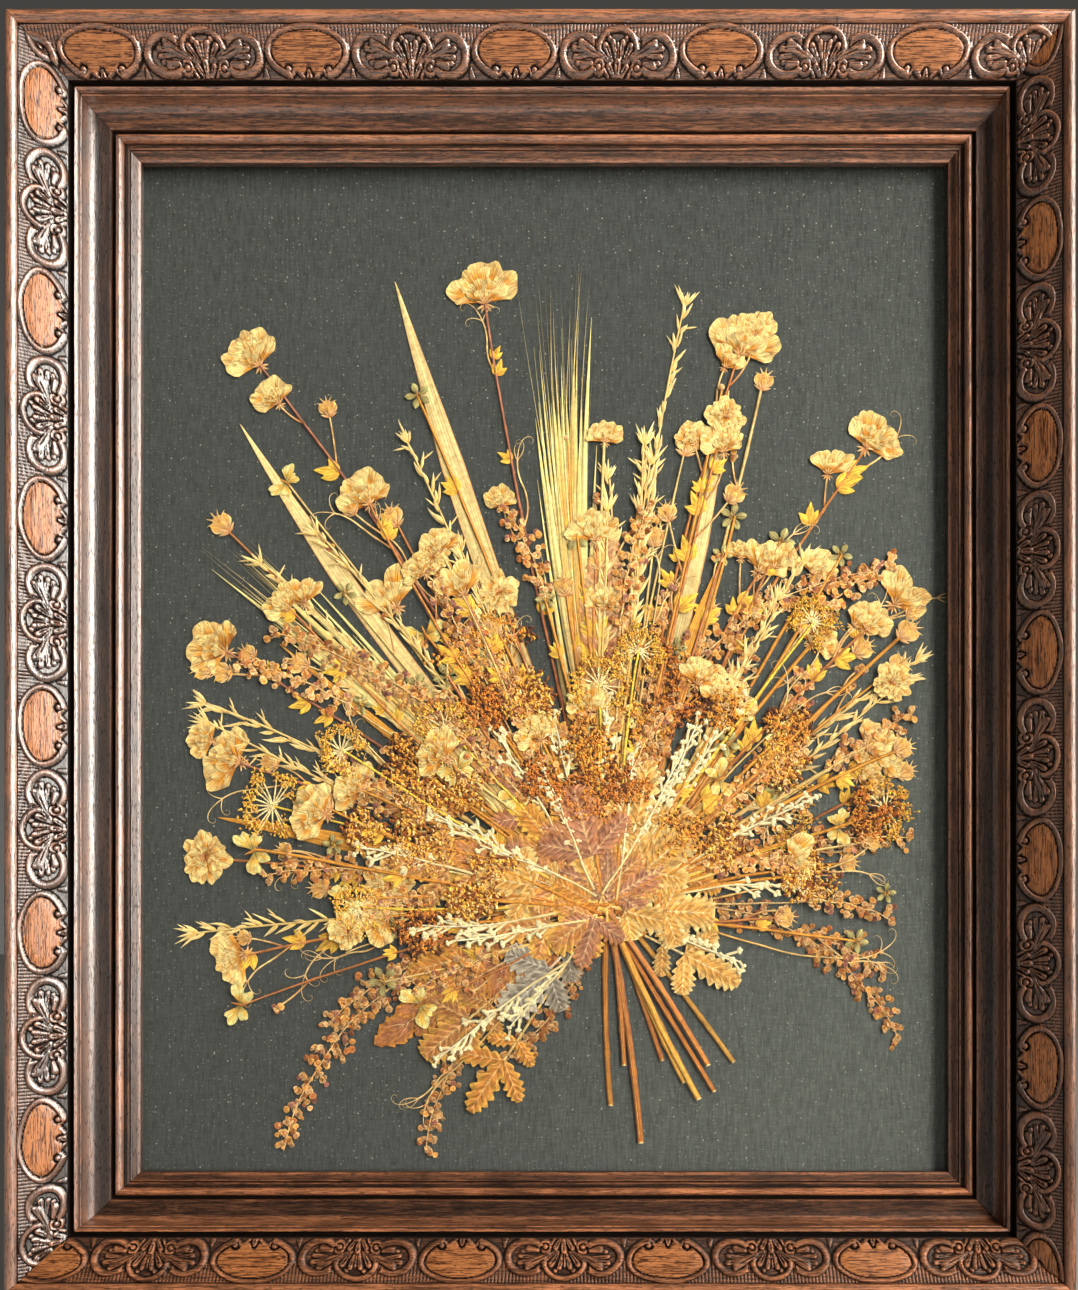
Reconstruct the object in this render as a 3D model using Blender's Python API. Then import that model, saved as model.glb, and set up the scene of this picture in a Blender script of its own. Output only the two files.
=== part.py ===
"""Pressed flower frame: a deep, carved oak picture frame that holds a spray of dried flowers.

The frame hangs upright. X runs across it, +Z is up and the front faces -Y, away from the wall.
The wall is the plane y = 0, and the origin is the middle of the top rail's back face.
Four mitred rails hold, from front to back, a glass pane, the pressed specimens in thin layers,
a cloth, its mount board and a backing board, which brads keep in the rebate.
"""

import math
from enum import Enum
from typing import NamedTuple

import bmesh
import bpy
import numpy as np
from mathutils import Matrix, Vector

MM = 0.001
GAP = 0.3 * MM

# Driving dimensions of the frame, in metres.
SIGHT_WIDTH = 443 * MM
SIGHT_HEIGHT = 554 * MM
SIGHT_DEPTH = 24 * MM  # from the wall to the rails' innermost front edge
LIP_THICKNESS = 4 * MM
REBATE_WIDTH = 7 * MM
RAIL_WIDTH = 55.2 * MM
SIDE_STEP = 1.0 * MM  # how far the outer side stands in from the outer bead
BACK_CHAMFER = 1.5 * MM

GLASS_THICKNESS = 2 * MM
BOARD_CLEARANCE = 0.5 * MM
SPECIMEN_SPACE = 4.55 * MM
CLOTH_THICKNESS = 0.6 * MM
MOUNT_BOARD_THICKNESS = 3 * MM
BACKING_THICKNESS = 3 * MM

BRAD_RADIUS = 0.7 * MM
BRAD_LENGTH = 13 * MM
BRAD_GRIP = 7 * MM  # the length driven into the rail
EYE_RING_RADIUS = 2.9 * MM
EYE_WIRE_RADIUS = 0.9 * MM
EYE_SHANK_LENGTH = 13 * MM
EYE_DROP = 150 * MM  # below the top of the sight opening

# The specimens' thin layers, laid from the cloth towards the glass.
LAYER_COUNT = 7
LAYER_PITCH = 0.65 * MM
SPECIMEN_THICKNESS = 0.35 * MM

SIGHT_CENTRE_Z = -((REBATE_WIDTH + RAIL_WIDTH - SIDE_STEP - BACK_CHAMFER) / 2 + SIGHT_HEIGHT / 2)
GATHER_POINT = (34 * MM, SIGHT_CENTRE_Z - 132 * MM)  # x, z: where all the stalks meet

GLASS_FRONT = -(SIGHT_DEPTH - LIP_THICKNESS - GAP)
SPECIMENS_FRONT = GLASS_FRONT + GLASS_THICKNESS
CLOTH_FRONT = SPECIMENS_FRONT + SPECIMEN_SPACE
MOUNT_BOARD_FRONT = CLOTH_FRONT + CLOTH_THICKNESS + GAP
BACKING_FRONT = MOUNT_BOARD_FRONT + MOUNT_BOARD_THICKNESS + GAP
BACKING_BACK = BACKING_FRONT + BACKING_THICKNESS


class Side(Enum):
    """A rail's place, as the turn that takes the bottom rail there."""

    BOTTOM = 0
    RIGHT = 90
    TOP = 180
    LEFT = 270


class Kind(Enum):
    """What a specimen is, which settles how its outline widens along it."""

    CUT_STEM = "cut stem"
    BLADE = "grass blade"
    EAR = "grass ear"
    BLOOM = "stalk with a bloom"
    SPRAY = "seed spray"
    SPRIG = "narrow-leaved sprig"
    HEAD = "floret head"
    LEAF = "leaf"


class Specimen(NamedTuple):
    """One pressed piece: it leaves the gather point's surroundings and curves evenly to its tip."""

    name: str
    kind: Kind
    angle: float  # degrees from straight up, positive to the left
    start: float  # mm from the gather point
    length: float  # mm
    bend: float  # degrees that it turns on the way
    half_width: float  # mm


# In the order that they are laid, from the cloth to the glass.
SPECIMENS = (
    Specimen("grass_blade_1", Kind.BLADE, 41, 50, 288, -9, 5.6),
    Specimen("grass_blade_2", Kind.BLADE, 20, 46, 322, -3, 6.6),
    Specimen("grass_blade_3", Kind.BLADE, -15, 46, 250, 4, 6.2),
    Specimen("grass_blade_4", Kind.BLADE, 75, 50, 172, 5, 4.6),
    Specimen("cut_stem_1", Kind.CUT_STEM, 178, 12, 98, 7, 1.9),
    Specimen("cut_stem_2", Kind.CUT_STEM, -169, 12, 120, -6, 2.1),
    Specimen("cut_stem_3", Kind.CUT_STEM, -157, 12, 106, 6, 2.0),
    Specimen("cut_stem_4", Kind.CUT_STEM, -145, 12, 92, -5, 1.8),
    Specimen("barley_ear_1", Kind.EAR, 46, 50, 262, 3, 7.0),
    Specimen("barley_ear_2", Kind.EAR, 7, 48, 318, -7, 7.5),
    Specimen("narrow_sprig_1", Kind.SPRIG, 60, 58, 192, 8, 9.0),
    Specimen("narrow_sprig_2", Kind.SPRIG, -4, 52, 286, -8, 8.0),
    Specimen("narrow_sprig_3", Kind.SPRIG, -49, 52, 168, -6, 8.0),
    Specimen("bloom_stalk_1", Kind.BLOOM, 29, 50, 330, 9, 14.0),
    Specimen("bloom_stalk_2", Kind.BLOOM, 13, 48, 318, -4, 15.0),
    Specimen("bloom_stalk_3", Kind.BLOOM, -10, 48, 292, -9, 15.5),
    Specimen("bloom_stalk_4", Kind.BLOOM, -24, 48, 268, -14, 14.0),
    Specimen("bloom_stalk_5", Kind.BLOOM, -40, 50, 205, -10, 14.5),
    Specimen("bloom_stalk_6", Kind.BLOOM, -58, 50, 142, -8, 13.5),
    Specimen("bloom_stalk_7", Kind.BLOOM, 53, 52, 226, 9, 15.0),
    Specimen("bloom_stalk_8", Kind.BLOOM, 66, 52, 190, 7, 14.5),
    Specimen("bloom_stalk_9", Kind.BLOOM, 81, 50, 190, 5, 14.5),
    Specimen("bloom_stalk_10", Kind.BLOOM, 94, 48, 176, 10, 14.0),
    Specimen("seed_spray_1", Kind.SPRAY, 37, 70, 178, 38, 8.5),
    Specimen("seed_spray_2", Kind.SPRAY, -14, 78, 184, -72, 8.0),
    Specimen("seed_spray_3", Kind.SPRAY, -68, 52, 122, -26, 9.0),
    Specimen("seed_spray_4", Kind.SPRAY, -88, 40, 150, -66, 9.0),
    Specimen("seed_spray_5", Kind.SPRAY, 104, 62, 178, 62, 9.0),
    Specimen("seed_spray_6", Kind.SPRAY, 127, 46, 128, 44, 8.0),
    Specimen("seed_spray_7", Kind.SPRAY, 157, 26, 92, -34, 7.0),
    Specimen("floret_head_1", Kind.HEAD, 26, 72, 112, 0, 25.0),
    Specimen("floret_head_2", Kind.HEAD, 55, 50, 84, 0, 21.0),
    Specimen("floret_head_3", Kind.HEAD, -19, 60, 92, 0, 22.0),
    Specimen("umbel_1", Kind.HEAD, 72, 130, 84, 8, 20.0),
    Specimen("umbel_2", Kind.HEAD, -59, 56, 74, 0, 26.0),
    Specimen("pinnate_leaf_1", Kind.LEAF, 117, 24, 116, 8, 19.0),
    Specimen("pinnate_leaf_2", Kind.LEAF, 1, 112, 92, -4, 15.0),
    Specimen("pinnate_leaf_3", Kind.LEAF, -37, 26, 76, 0, 18.0),
    Specimen("pinnate_leaf_4", Kind.LEAF, 68, 14, 72, 4, 17.0),
    Specimen("silver_leaf", Kind.LEAF, 137, 26, 56, 0, 15.0),
    Specimen("collar_leaf", Kind.LEAF, 16, 6, 66, 0, 17.0),
    Specimen("blossom_1", Kind.HEAD, 35, 196, 30, 0, 14.5),
    Specimen("blossom_2", Kind.HEAD, -30, 120, 30, 0, 14.5),
    Specimen("blossom_3", Kind.HEAD, 84, 106, 30, 0, 14.5),
)

OUTLINE_MARGIN = 0.35 * MM  # kept between two specimens of one layer


def new_material(name, colour, roughness, metallic=0.0):
    """A Principled material of one colour."""
    material = bpy.data.materials.new(name)
    material.use_nodes = True
    shader = material.node_tree.nodes["Principled BSDF"]
    shader.inputs["Base Color"].default_value = (*colour, 1.0)
    shader.inputs["Roughness"].default_value = roughness
    shader.inputs["Metallic"].default_value = metallic
    material.diffuse_color = (*colour, 1.0)
    return material


def new_object(name, mesh, collection, material=None):
    """An object for the mesh, in the collection."""
    mesh.name = name
    obj = bpy.data.objects.new(name, mesh)
    collection.objects.link(obj)
    if material is not None:
        mesh.materials.append(material)
    return obj


def ellipse_arc(centre, radii, start_deg, end_deg, steps):
    """Points of an elliptical arc in the profile's (u, z) plane."""
    angles = np.radians(np.linspace(start_deg, end_deg, steps + 1))
    return [(centre[0] + radii[0] * math.cos(a), centre[1] + radii[1] * math.sin(a)) for a in angles]


def rail_profile():
    """The rail's section as (u, z) points, going round once.

    u runs outwards from the sight edge and z forwards from it, both in metres. The front climbs
    from the sight edge: slip, fillet, bead, quirk, cove, fillets, groove, carved band, outer bead.
    """
    back = -SIGHT_DEPTH
    outside = RAIL_WIDTH - SIDE_STEP
    slip = [(0, -LIP_THICKNESS), (0, -0.5 * MM), (0.5 * MM, 0), (4.0 * MM, 2.8 * MM)]
    fillet = [(4.6 * MM, 2.2 * MM), (5.2 * MM, 4.4 * MM), (7.6 * MM, 5.0 * MM)]
    bead = ellipse_arc((9.4 * MM, 5.2 * MM), (1.7 * MM, 2.4 * MM), 180, 0, 6)
    quirk = [(11.2 * MM, 3.6 * MM), (13.3 * MM, 3.6 * MM)]
    cove = ellipse_arc((13.6 * MM, 15.2 * MM), (11.0 * MM, 8.6 * MM), -90, 0, 7)
    fillets = [(24.6 * MM, 17.2 * MM), (26.0 * MM, 17.4 * MM), (26.0 * MM, 20.4 * MM), (27.6 * MM, 21.4 * MM)]
    groove = [(27.9 * MM, 17.0 * MM), (29.3 * MM, 17.0 * MM)]
    band = [(29.6 * MM, 24.4 * MM), (48.8 * MM, 37.2 * MM), (49.1 * MM, 35.6 * MM)]
    outer_bead = ellipse_arc((52.2 * MM, 36.2 * MM), (3.0 * MM, 3.0 * MM), 170, -10, 8)
    side = [(outside, 33.2 * MM), (outside, back + BACK_CHAMFER), (outside - BACK_CHAMFER, back)]
    rebate = [(REBATE_WIDTH, back), (REBATE_WIDTH, -LIP_THICKNESS)]
    return slip + fillet + bead + quirk + cove + fillets + groove + band + outer_bead + side + rebate


def flat_outline(name, points, thickness):
    """The closed outline as a flat curve, filled and given a thickness, then made one mesh."""
    curve = bpy.data.curves.new(name, "CURVE")
    curve.dimensions = "2D"
    curve.fill_mode = "BOTH"
    curve.extrude = thickness / 2
    spline = curve.splines.new("POLY")
    spline.points.add(len(points) - 1)
    spline.points.foreach_set("co", np.array([(x, y, 0, 1) for x, y in points], float).ravel())
    spline.use_cyclic_u = True
    guide = bpy.data.objects.new(name, curve)
    bpy.context.scene.collection.objects.link(guide)
    bpy.context.view_layer.update()
    mesh = bpy.data.meshes.new_from_object(guide.evaluated_get(bpy.context.evaluated_depsgraph_get()))
    bpy.data.objects.remove(guide)
    bpy.data.curves.remove(curve)
    bm = bmesh.new()
    bm.from_mesh(mesh)
    bmesh.ops.remove_doubles(bm, verts=bm.verts, dist=0.001 * MM)
    bmesh.ops.recalc_face_normals(bm, faces=bm.faces)
    bm.to_mesh(mesh)
    bm.free()
    return mesh


def cut_mesh(mesh, point, normal):
    """Cuts the closed mesh at a plane, takes away the side that the normal points to, and caps it."""
    bm = bmesh.new()
    bm.from_mesh(mesh)
    everything = bm.verts[:] + bm.edges[:] + bm.faces[:]
    cut = bmesh.ops.bisect_plane(bm, geom=everything, plane_co=point, plane_no=normal, clear_outer=True)
    edges = [item for item in cut["geom_cut"] if isinstance(item, bmesh.types.BMEdge)]
    bmesh.ops.triangle_fill(bm, edges=edges, use_beauty=True, normal=normal)
    bmesh.ops.recalc_face_normals(bm, faces=bm.faces)
    bm.to_mesh(mesh)
    bm.free()


def build_rail(side, collection, material):
    """One mitred rail: its section drawn out along X, mitred at both ends and turned to its side."""
    across = side in (Side.BOTTOM, Side.TOP)
    half_sight = (SIGHT_WIDTH if across else SIGHT_HEIGHT) / 2
    other_half = (SIGHT_HEIGHT if across else SIGHT_WIDTH) / 2
    mesh = flat_outline("rail_section", rail_profile(), 2 * (half_sight + 2 * RAIL_WIDTH))
    # The section's u becomes -Z, its z becomes -Y, and the drawn length lies along X.
    mesh.transform(Matrix(((0, 0, 1, 0), (0, -1, 0, -SIGHT_DEPTH), (-1, 0, 0, -other_half), (0, 0, 0, 1))))
    for direction in (-1, 1):
        mitre_point = Vector((direction * (half_sight - GAP / 2), 0, -other_half))
        cut_mesh(mesh, mitre_point, Vector((direction, 0, 1)).normalized())
    turn = Matrix.Rotation(-math.radians(side.value), 4, "Y")
    mesh.transform(Matrix.Translation((0, 0, SIGHT_CENTRE_Z)) @ turn)
    return new_object(f"rail_{side.name.lower()}", mesh, collection, material)


def build_panel(name, front, thickness, collection, material):
    """A rectangular sheet lying in the rebate, with its front face at the given depth."""
    width = SIGHT_WIDTH + 2 * (REBATE_WIDTH - BOARD_CLEARANCE)
    height = SIGHT_HEIGHT + 2 * (REBATE_WIDTH - BOARD_CLEARANCE)
    bm = bmesh.new()
    bmesh.ops.create_cube(bm, size=1, matrix=Matrix.Diagonal((width, thickness, height, 1)))
    mesh = bpy.data.meshes.new(name)
    bm.to_mesh(mesh)
    bm.free()
    panel = new_object(name, mesh, collection, material)
    panel.location = (0, front + thickness / 2, SIGHT_CENTRE_Z)
    return panel


def rod_mesh(name, radius, length, segments=10):
    """A closed rod along X, from the origin in the +X direction."""
    bm = bmesh.new()
    lie_down = Matrix.Translation((length / 2, 0, 0)) @ Matrix.Rotation(math.radians(90), 4, "Y")
    bmesh.ops.create_cone(
        bm, cap_ends=True, segments=segments, radius1=radius, radius2=radius, depth=length, matrix=lie_down
    )
    mesh = bpy.data.meshes.new(name)
    bm.to_mesh(mesh)
    bm.free()
    return mesh


def ring_object(name, radius, wire_radius, collection):
    """A ring in the plane of the picture."""
    bpy.ops.mesh.primitive_torus_add(
        major_radius=radius, minor_radius=wire_radius, major_segments=20, minor_segments=8
    )
    ring = bpy.context.active_object
    ring.data.transform(Matrix.Rotation(math.radians(90), 4, "X"))
    for holder in list(ring.users_collection):
        holder.objects.unlink(ring)
    ring.name = name
    collection.objects.link(ring)
    return ring


def add_boolean(target, tool, operation):
    """Joins the tool to the target, or cuts it away."""
    modifier = target.modifiers.new(f"{operation.lower()}_{tool.name}", "BOOLEAN")
    modifier.operation = operation
    modifier.solver = "EXACT"
    modifier.object = tool


def hide_tool(obj):
    """Marks an object that only cuts or joins."""
    obj.hide_render = True
    obj.display_type = "WIRE"


def pin_places():
    """Where the brads stand: (side, distance along the rail from its middle)."""
    across = SIGHT_WIDTH / 4
    upright = SIGHT_HEIGHT / 4
    return (
        (Side.TOP, 0.0),
        (Side.BOTTOM, 0.0),
        (Side.LEFT, -upright),
        (Side.LEFT, across),
        (Side.RIGHT, -across),
        (Side.RIGHT, upright),
    )


def rebate_wall(side, along):
    """The matrix that puts a piece lying along +X on a side's rebate wall, pointing into the rail."""
    half = (SIGHT_WIDTH if side in (Side.LEFT, Side.RIGHT) else SIGHT_HEIGHT) / 2 + REBATE_WIDTH
    outwards = {Side.RIGHT: 0, Side.TOP: 90, Side.LEFT: 180, Side.BOTTOM: 270}[side]
    turn = Matrix.Rotation(-math.radians(outwards), 4, "Y")
    return Matrix.Translation((0, 0, SIGHT_CENTRE_Z)) @ turn @ Matrix.Translation((half, 0, along))


def build_brads(rails, collection, cutters, material):
    """The brads behind the backing board, each in its own hole."""
    depth = BACKING_BACK + GAP + BRAD_RADIUS
    for number, (side, along) in enumerate(pin_places(), start=1):
        place = rebate_wall(side, along)
        brad = new_object(f"brad_{number}", rod_mesh("brad", BRAD_RADIUS, BRAD_LENGTH), collection, material)
        brad.matrix_world = place @ Matrix.Translation((BRAD_GRIP - BRAD_LENGTH, depth, 0))
        hole = new_object(f"brad_hole_{number}", rod_mesh("hole", BRAD_RADIUS + GAP, 2 * BRAD_GRIP), cutters)
        hole.matrix_world = place @ Matrix.Translation((GAP - BRAD_GRIP, depth, 0))
        hide_tool(hole)
        add_boolean(rails[side], hole, "DIFFERENCE")


def build_eyes(rails, collection, cutters, material):
    """The two brass screw eyes in the side rails, inside the recess behind the backing board."""
    depth = BACKING_BACK / 2
    shank_radius = EYE_WIRE_RADIUS * 1.1
    reach = EYE_RING_RADIUS + 2 * EYE_WIRE_RADIUS
    for side, name in ((Side.LEFT, "screw_eye_left"), (Side.RIGHT, "screw_eye_right")):
        above = SIGHT_HEIGHT / 2 - EYE_DROP
        along = above if side is Side.RIGHT else -above
        place = rebate_wall(side, along) @ Matrix.Translation((0, depth, 0))
        eye = ring_object(name, EYE_RING_RADIUS, EYE_WIRE_RADIUS, collection)
        eye.data.materials.append(material)
        eye.matrix_world = place @ Matrix.Translation((-reach, 0, 0))
        shank = new_object(f"{name}_shank", rod_mesh("shank", shank_radius, EYE_SHANK_LENGTH), cutters)
        shank.matrix_world = eye.matrix_world @ Matrix.Translation((EYE_RING_RADIUS, 0, 0))
        hide_tool(shank)
        add_boolean(eye, shank, "UNION")
        hole = new_object(f"{name}_hole", rod_mesh("hole", shank_radius + GAP, EYE_SHANK_LENGTH), cutters)
        hole.matrix_world = place @ Matrix.Translation((-reach + EYE_RING_RADIUS + GAP, 0, 0))
        hide_tool(hole)
        add_boolean(rails[side], hole, "DIFFERENCE")


def stations(kind):
    """Where along a specimen (0 at its start, 1 at its tip) its outline has points."""
    if kind in (Kind.BLOOM, Kind.HEAD):
        return None
    if kind is Kind.CUT_STEM:
        return np.linspace(0, 1, 6)
    if kind is Kind.LEAF:
        return np.linspace(0, 1, 14)
    return np.linspace(0, 1, 12)


def head_stations(specimen):
    """Points along a stalk that ends in a round head: few on the stalk, then round the head."""
    head = 2 * specimen.half_width / specimen.length
    round_part = 1 - head * (1 + np.cos(np.linspace(0, math.pi, 9))) / 2
    stalk = np.linspace(0, 1 - head, 7)[:-1] if head < 0.95 else np.array([])
    return np.concatenate([stalk[stalk >= 0], np.clip(round_part, 0, 1)])


def half_widths(specimen, t):
    """Half the specimen's width, in mm, at the stations t: each kind has its own rule.

    A stem keeps its width. A blade narrows to its point. An ear opens into its awns. A bloom or a
    head is a circle at the end of a thin stalk. A spray swells and rounds off. A sprig is a long
    spindle. A leaf is an egg shape with shallow lobes.
    """
    width = specimen.half_width
    stalk = 1.0
    if specimen.kind is Kind.CUT_STEM:
        return np.full_like(t, width)
    if specimen.kind is Kind.BLADE:
        return 0.35 + (width - 0.35) * np.minimum(1, (1 - t) / 0.4) ** 0.8 * (0.65 + 0.35 * np.minimum(1, t / 0.3))
    if specimen.kind is Kind.EAR:
        body = np.interp(t, [0, 0.42, 0.55, 0.7, 0.85, 1], [stalk, stalk, 4.0, 5.0, width, 0.8])
        return body
    if specimen.kind is Kind.SPRAY:
        rise = np.minimum(1, np.maximum(0, t - 0.06) / 0.2)
        end = np.sqrt(np.maximum(0, 1 - np.maximum(0, (t - 0.88) / 0.125) ** 2))
        return stalk + (width - stalk) * rise * end
    if specimen.kind is Kind.SPRIG:
        return np.interp(t, [0, 0.25, 0.6, 0.9, 1], [stalk, 3.0, width, width * 0.6, 0.6])
    if specimen.kind is Kind.LEAF:
        egg = np.sin(math.pi * t**0.85) ** 0.75
        lobes = 0.88 + 0.12 * np.cos(np.arange(len(t)) * math.pi)
        return 0.8 + (width - 0.8) * np.nan_to_num(egg) * lobes
    head = specimen.half_width / specimen.length
    chord = np.sqrt(np.maximum(0, 1 - ((t - (1 - head)) / head) ** 2))
    return np.maximum(np.where(t < 1 - head, stalk, 0.5), width * chord)


def centre_line(specimen, t):
    """Points (x, z) in metres and headings along the specimen, which turns evenly from start to tip."""
    fine = np.linspace(0, 1, 81)
    headings = np.radians(specimen.angle + specimen.bend * fine)
    steps = np.column_stack([-np.sin(headings), np.cos(headings)])
    moves = (steps[1:] + steps[:-1]) / 2 * specimen.length * MM / 80
    start = np.array(GATHER_POINT) + steps[0] * specimen.start * MM
    line = start + np.vstack([np.zeros(2), np.cumsum(moves, axis=0)])
    points = np.column_stack([np.interp(t, fine, line[:, 0]), np.interp(t, fine, line[:, 1])])
    return points, np.radians(specimen.angle + specimen.bend * t)


def specimen_outline(specimen, margin=0.0):
    """The closed outline in the picture's plane: out along the left edge and back along the right."""
    t = stations(specimen.kind)
    if t is None:
        t = head_stations(specimen)
    points, headings = centre_line(specimen, t)
    sideways = np.column_stack([-np.cos(headings), -np.sin(headings)])
    reach = (half_widths(specimen, t) * MM + margin)[:, None]
    return np.vstack([points + sideways * reach, (points - sideways * reach)[::-1]])


def cross(a, b):
    """The z part of the cross product of 2D vectors."""
    return a[..., 0] * b[..., 1] - a[..., 1] * b[..., 0]


def inside(outline, point):
    """Whether the point is inside the outline, by the crossing rule."""
    a, b = outline, np.roll(outline, -1, axis=0)
    straddles = (a[:, 1] > point[1]) != (b[:, 1] > point[1])
    with np.errstate(divide="ignore", invalid="ignore"):
        crossing = a[:, 0] + (point[1] - a[:, 1]) * (b[:, 0] - a[:, 0]) / (b[:, 1] - a[:, 1])
    return bool(np.count_nonzero(straddles & (point[0] < crossing)) % 2)


def overlapping(first, second):
    """Whether two outlines share any area: some of their edges cross, or one lies in the other."""
    if (first.max(0) < second.min(0)).any() or (second.max(0) < first.min(0)).any():
        return False
    p, r = first[:, None], np.roll(first, -1, axis=0)[:, None] - first[:, None]
    q, s = second[None], np.roll(second, -1, axis=0)[None] - second[None]
    turn = cross(r, s)
    with np.errstate(divide="ignore", invalid="ignore"):
        along_first = cross(q - p, s) / turn
        along_second = cross(q - p, r) / turn
    hits = (along_first >= 0) & (along_first <= 1) & (along_second >= 0) & (along_second <= 1)
    return bool(hits.any()) or inside(first, second[0]) or inside(second, first[0])


def lay_specimens(collection, materials):
    """Lays the specimens in order, each one layer above the highest of those that it covers."""
    laid = []
    for specimen in SPECIMENS:
        outline = specimen_outline(specimen)
        reach = specimen_outline(specimen, OUTLINE_MARGIN)
        layer = 1 + max((below for other, below in laid if overlapping(reach, other)), default=-1)
        laid.append((outline, layer))
        mesh = flat_outline(specimen.name, outline, SPECIMEN_THICKNESS)
        # The flat outline's x stays X, its y becomes Z, and its thickness lies along Y.
        mesh.transform(Matrix.Rotation(math.radians(90), 4, "X"))
        piece = new_object(specimen.name, mesh, collection, materials[specimen.kind])
        height = GAP + SPECIMEN_THICKNESS / 2 + layer * LAYER_PITCH
        piece.location = (0, CLOTH_FRONT - height, 0)
    return max(layer for _, layer in laid)


def build():
    """Builds the whole frame with its mounted specimens."""
    for obj in list(bpy.data.objects):
        bpy.data.objects.remove(obj, do_unlink=True)
    scene = bpy.context.scene
    parts = bpy.data.collections.new("pressed_flower_frame")
    cutters = bpy.data.collections.new("cutters")
    for collection in (parts, cutters):
        scene.collection.children.link(collection)
    oak = new_material("stained_oak", (0.09, 0.045, 0.025), 0.35)
    clear = new_material("glass", (0.9, 0.93, 0.92), 0.03)
    felt = new_material("charcoal_cloth", (0.05, 0.053, 0.048), 0.95)
    card = new_material("mount_card", (0.45, 0.40, 0.32), 0.9)
    ply = new_material("backing_ply", (0.38, 0.25, 0.14), 0.75)
    steel = new_material("brad_steel", (0.45, 0.44, 0.42), 0.4, 1.0)
    brass = new_material("brass", (0.6, 0.42, 0.15), 0.35, 1.0)
    plants = {
        Kind.CUT_STEM: new_material("dry_stem", (0.60, 0.32, 0.10), 0.7),
        Kind.BLADE: new_material("dry_blade", (0.75, 0.58, 0.28), 0.7),
        Kind.EAR: new_material("dry_ear", (0.75, 0.60, 0.30), 0.7),
        Kind.BLOOM: new_material("dry_petal", (0.85, 0.66, 0.34), 0.75),
        Kind.SPRAY: new_material("dry_seed", (0.52, 0.26, 0.12), 0.8),
        Kind.SPRIG: new_material("dry_sprig", (0.72, 0.52, 0.20), 0.75),
        Kind.HEAD: new_material("dry_floret", (0.60, 0.28, 0.07), 0.8),
        Kind.LEAF: new_material("dry_leaf", (0.52, 0.30, 0.15), 0.75),
    }
    rails = {side: build_rail(side, parts, oak) for side in Side}
    build_panel("glass_pane", GLASS_FRONT, GLASS_THICKNESS, parts, clear)
    build_panel("cloth", CLOTH_FRONT, CLOTH_THICKNESS, parts, felt)
    build_panel("mount_board", MOUNT_BOARD_FRONT, MOUNT_BOARD_THICKNESS, parts, card)
    build_panel("backing_board", BACKING_FRONT, BACKING_THICKNESS, parts, ply)
    build_brads(rails, parts, cutters, steel)
    build_eyes(rails, parts, cutters, brass)
    top_layer = lay_specimens(parts, plants)
    if top_layer >= LAYER_COUNT:
        raise ValueError(f"the specimens need {top_layer + 1} layers and have room for {LAYER_COUNT}")


build()
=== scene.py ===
"""Looks of the pressed flower frame: carved oak rails, glass, charcoal cloth and the dried spray.

X runs across the frame, +Z is up and the front faces -Y. The wall is the plane y = 0. Every new
piece is a surface worked out with numpy and stands for, or sits on, a piece of the CAD frame.
"""

import logging
import math
from dataclasses import dataclass, field, replace
from enum import Enum

import bpy
import numpy as np
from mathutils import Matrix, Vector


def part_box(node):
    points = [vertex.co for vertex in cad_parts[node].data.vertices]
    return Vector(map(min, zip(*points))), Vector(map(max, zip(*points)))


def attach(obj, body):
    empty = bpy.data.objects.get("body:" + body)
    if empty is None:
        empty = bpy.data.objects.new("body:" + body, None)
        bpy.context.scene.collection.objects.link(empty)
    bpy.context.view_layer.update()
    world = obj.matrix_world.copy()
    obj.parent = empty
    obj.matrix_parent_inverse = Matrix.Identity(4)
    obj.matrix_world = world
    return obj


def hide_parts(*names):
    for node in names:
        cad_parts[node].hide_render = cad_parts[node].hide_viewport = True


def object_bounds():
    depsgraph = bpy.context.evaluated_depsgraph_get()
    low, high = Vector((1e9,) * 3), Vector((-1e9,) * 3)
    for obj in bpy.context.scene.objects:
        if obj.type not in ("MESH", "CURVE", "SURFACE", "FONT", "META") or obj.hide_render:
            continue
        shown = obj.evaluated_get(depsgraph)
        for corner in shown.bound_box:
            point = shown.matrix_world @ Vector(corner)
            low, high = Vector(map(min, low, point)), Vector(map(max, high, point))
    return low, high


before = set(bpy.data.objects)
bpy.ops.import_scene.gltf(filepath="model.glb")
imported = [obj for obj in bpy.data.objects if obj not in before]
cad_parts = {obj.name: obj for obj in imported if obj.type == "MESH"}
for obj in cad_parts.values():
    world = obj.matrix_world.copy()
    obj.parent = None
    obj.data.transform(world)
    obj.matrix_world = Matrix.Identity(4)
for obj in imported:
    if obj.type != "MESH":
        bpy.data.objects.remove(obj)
CAD_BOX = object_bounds()

Array = np.ndarray
Many = np.ndarray | float
Grid = tuple[int, int]
Colour = tuple[float, float, float]
Point2 = tuple[float, float]
Socket = bpy.types.NodeSocket
Piece = bpy.types.Object
Material = bpy.types.Material

LOG = logging.getLogger("pressed_flower_frame")
BODY = "root"
MM = 0.001
FULL_TURN = 2 * math.pi


# ---- colours, nodes


def srgb(code: str) -> Colour:
    """Linear colour of a six-digit sRGB code.

    Args:
        code: the colour as it is seen, such as "c98b5a".

    Returns:
        Linear red, green and blue.
    """
    values = [int(code[i : i + 2], 16) / 255 for i in (0, 2, 4)]
    linear = [v / 12.92 if v <= 0.04045 else ((v + 0.055) / 1.055) ** 2.4 for v in values]
    return linear[0], linear[1], linear[2]


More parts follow.
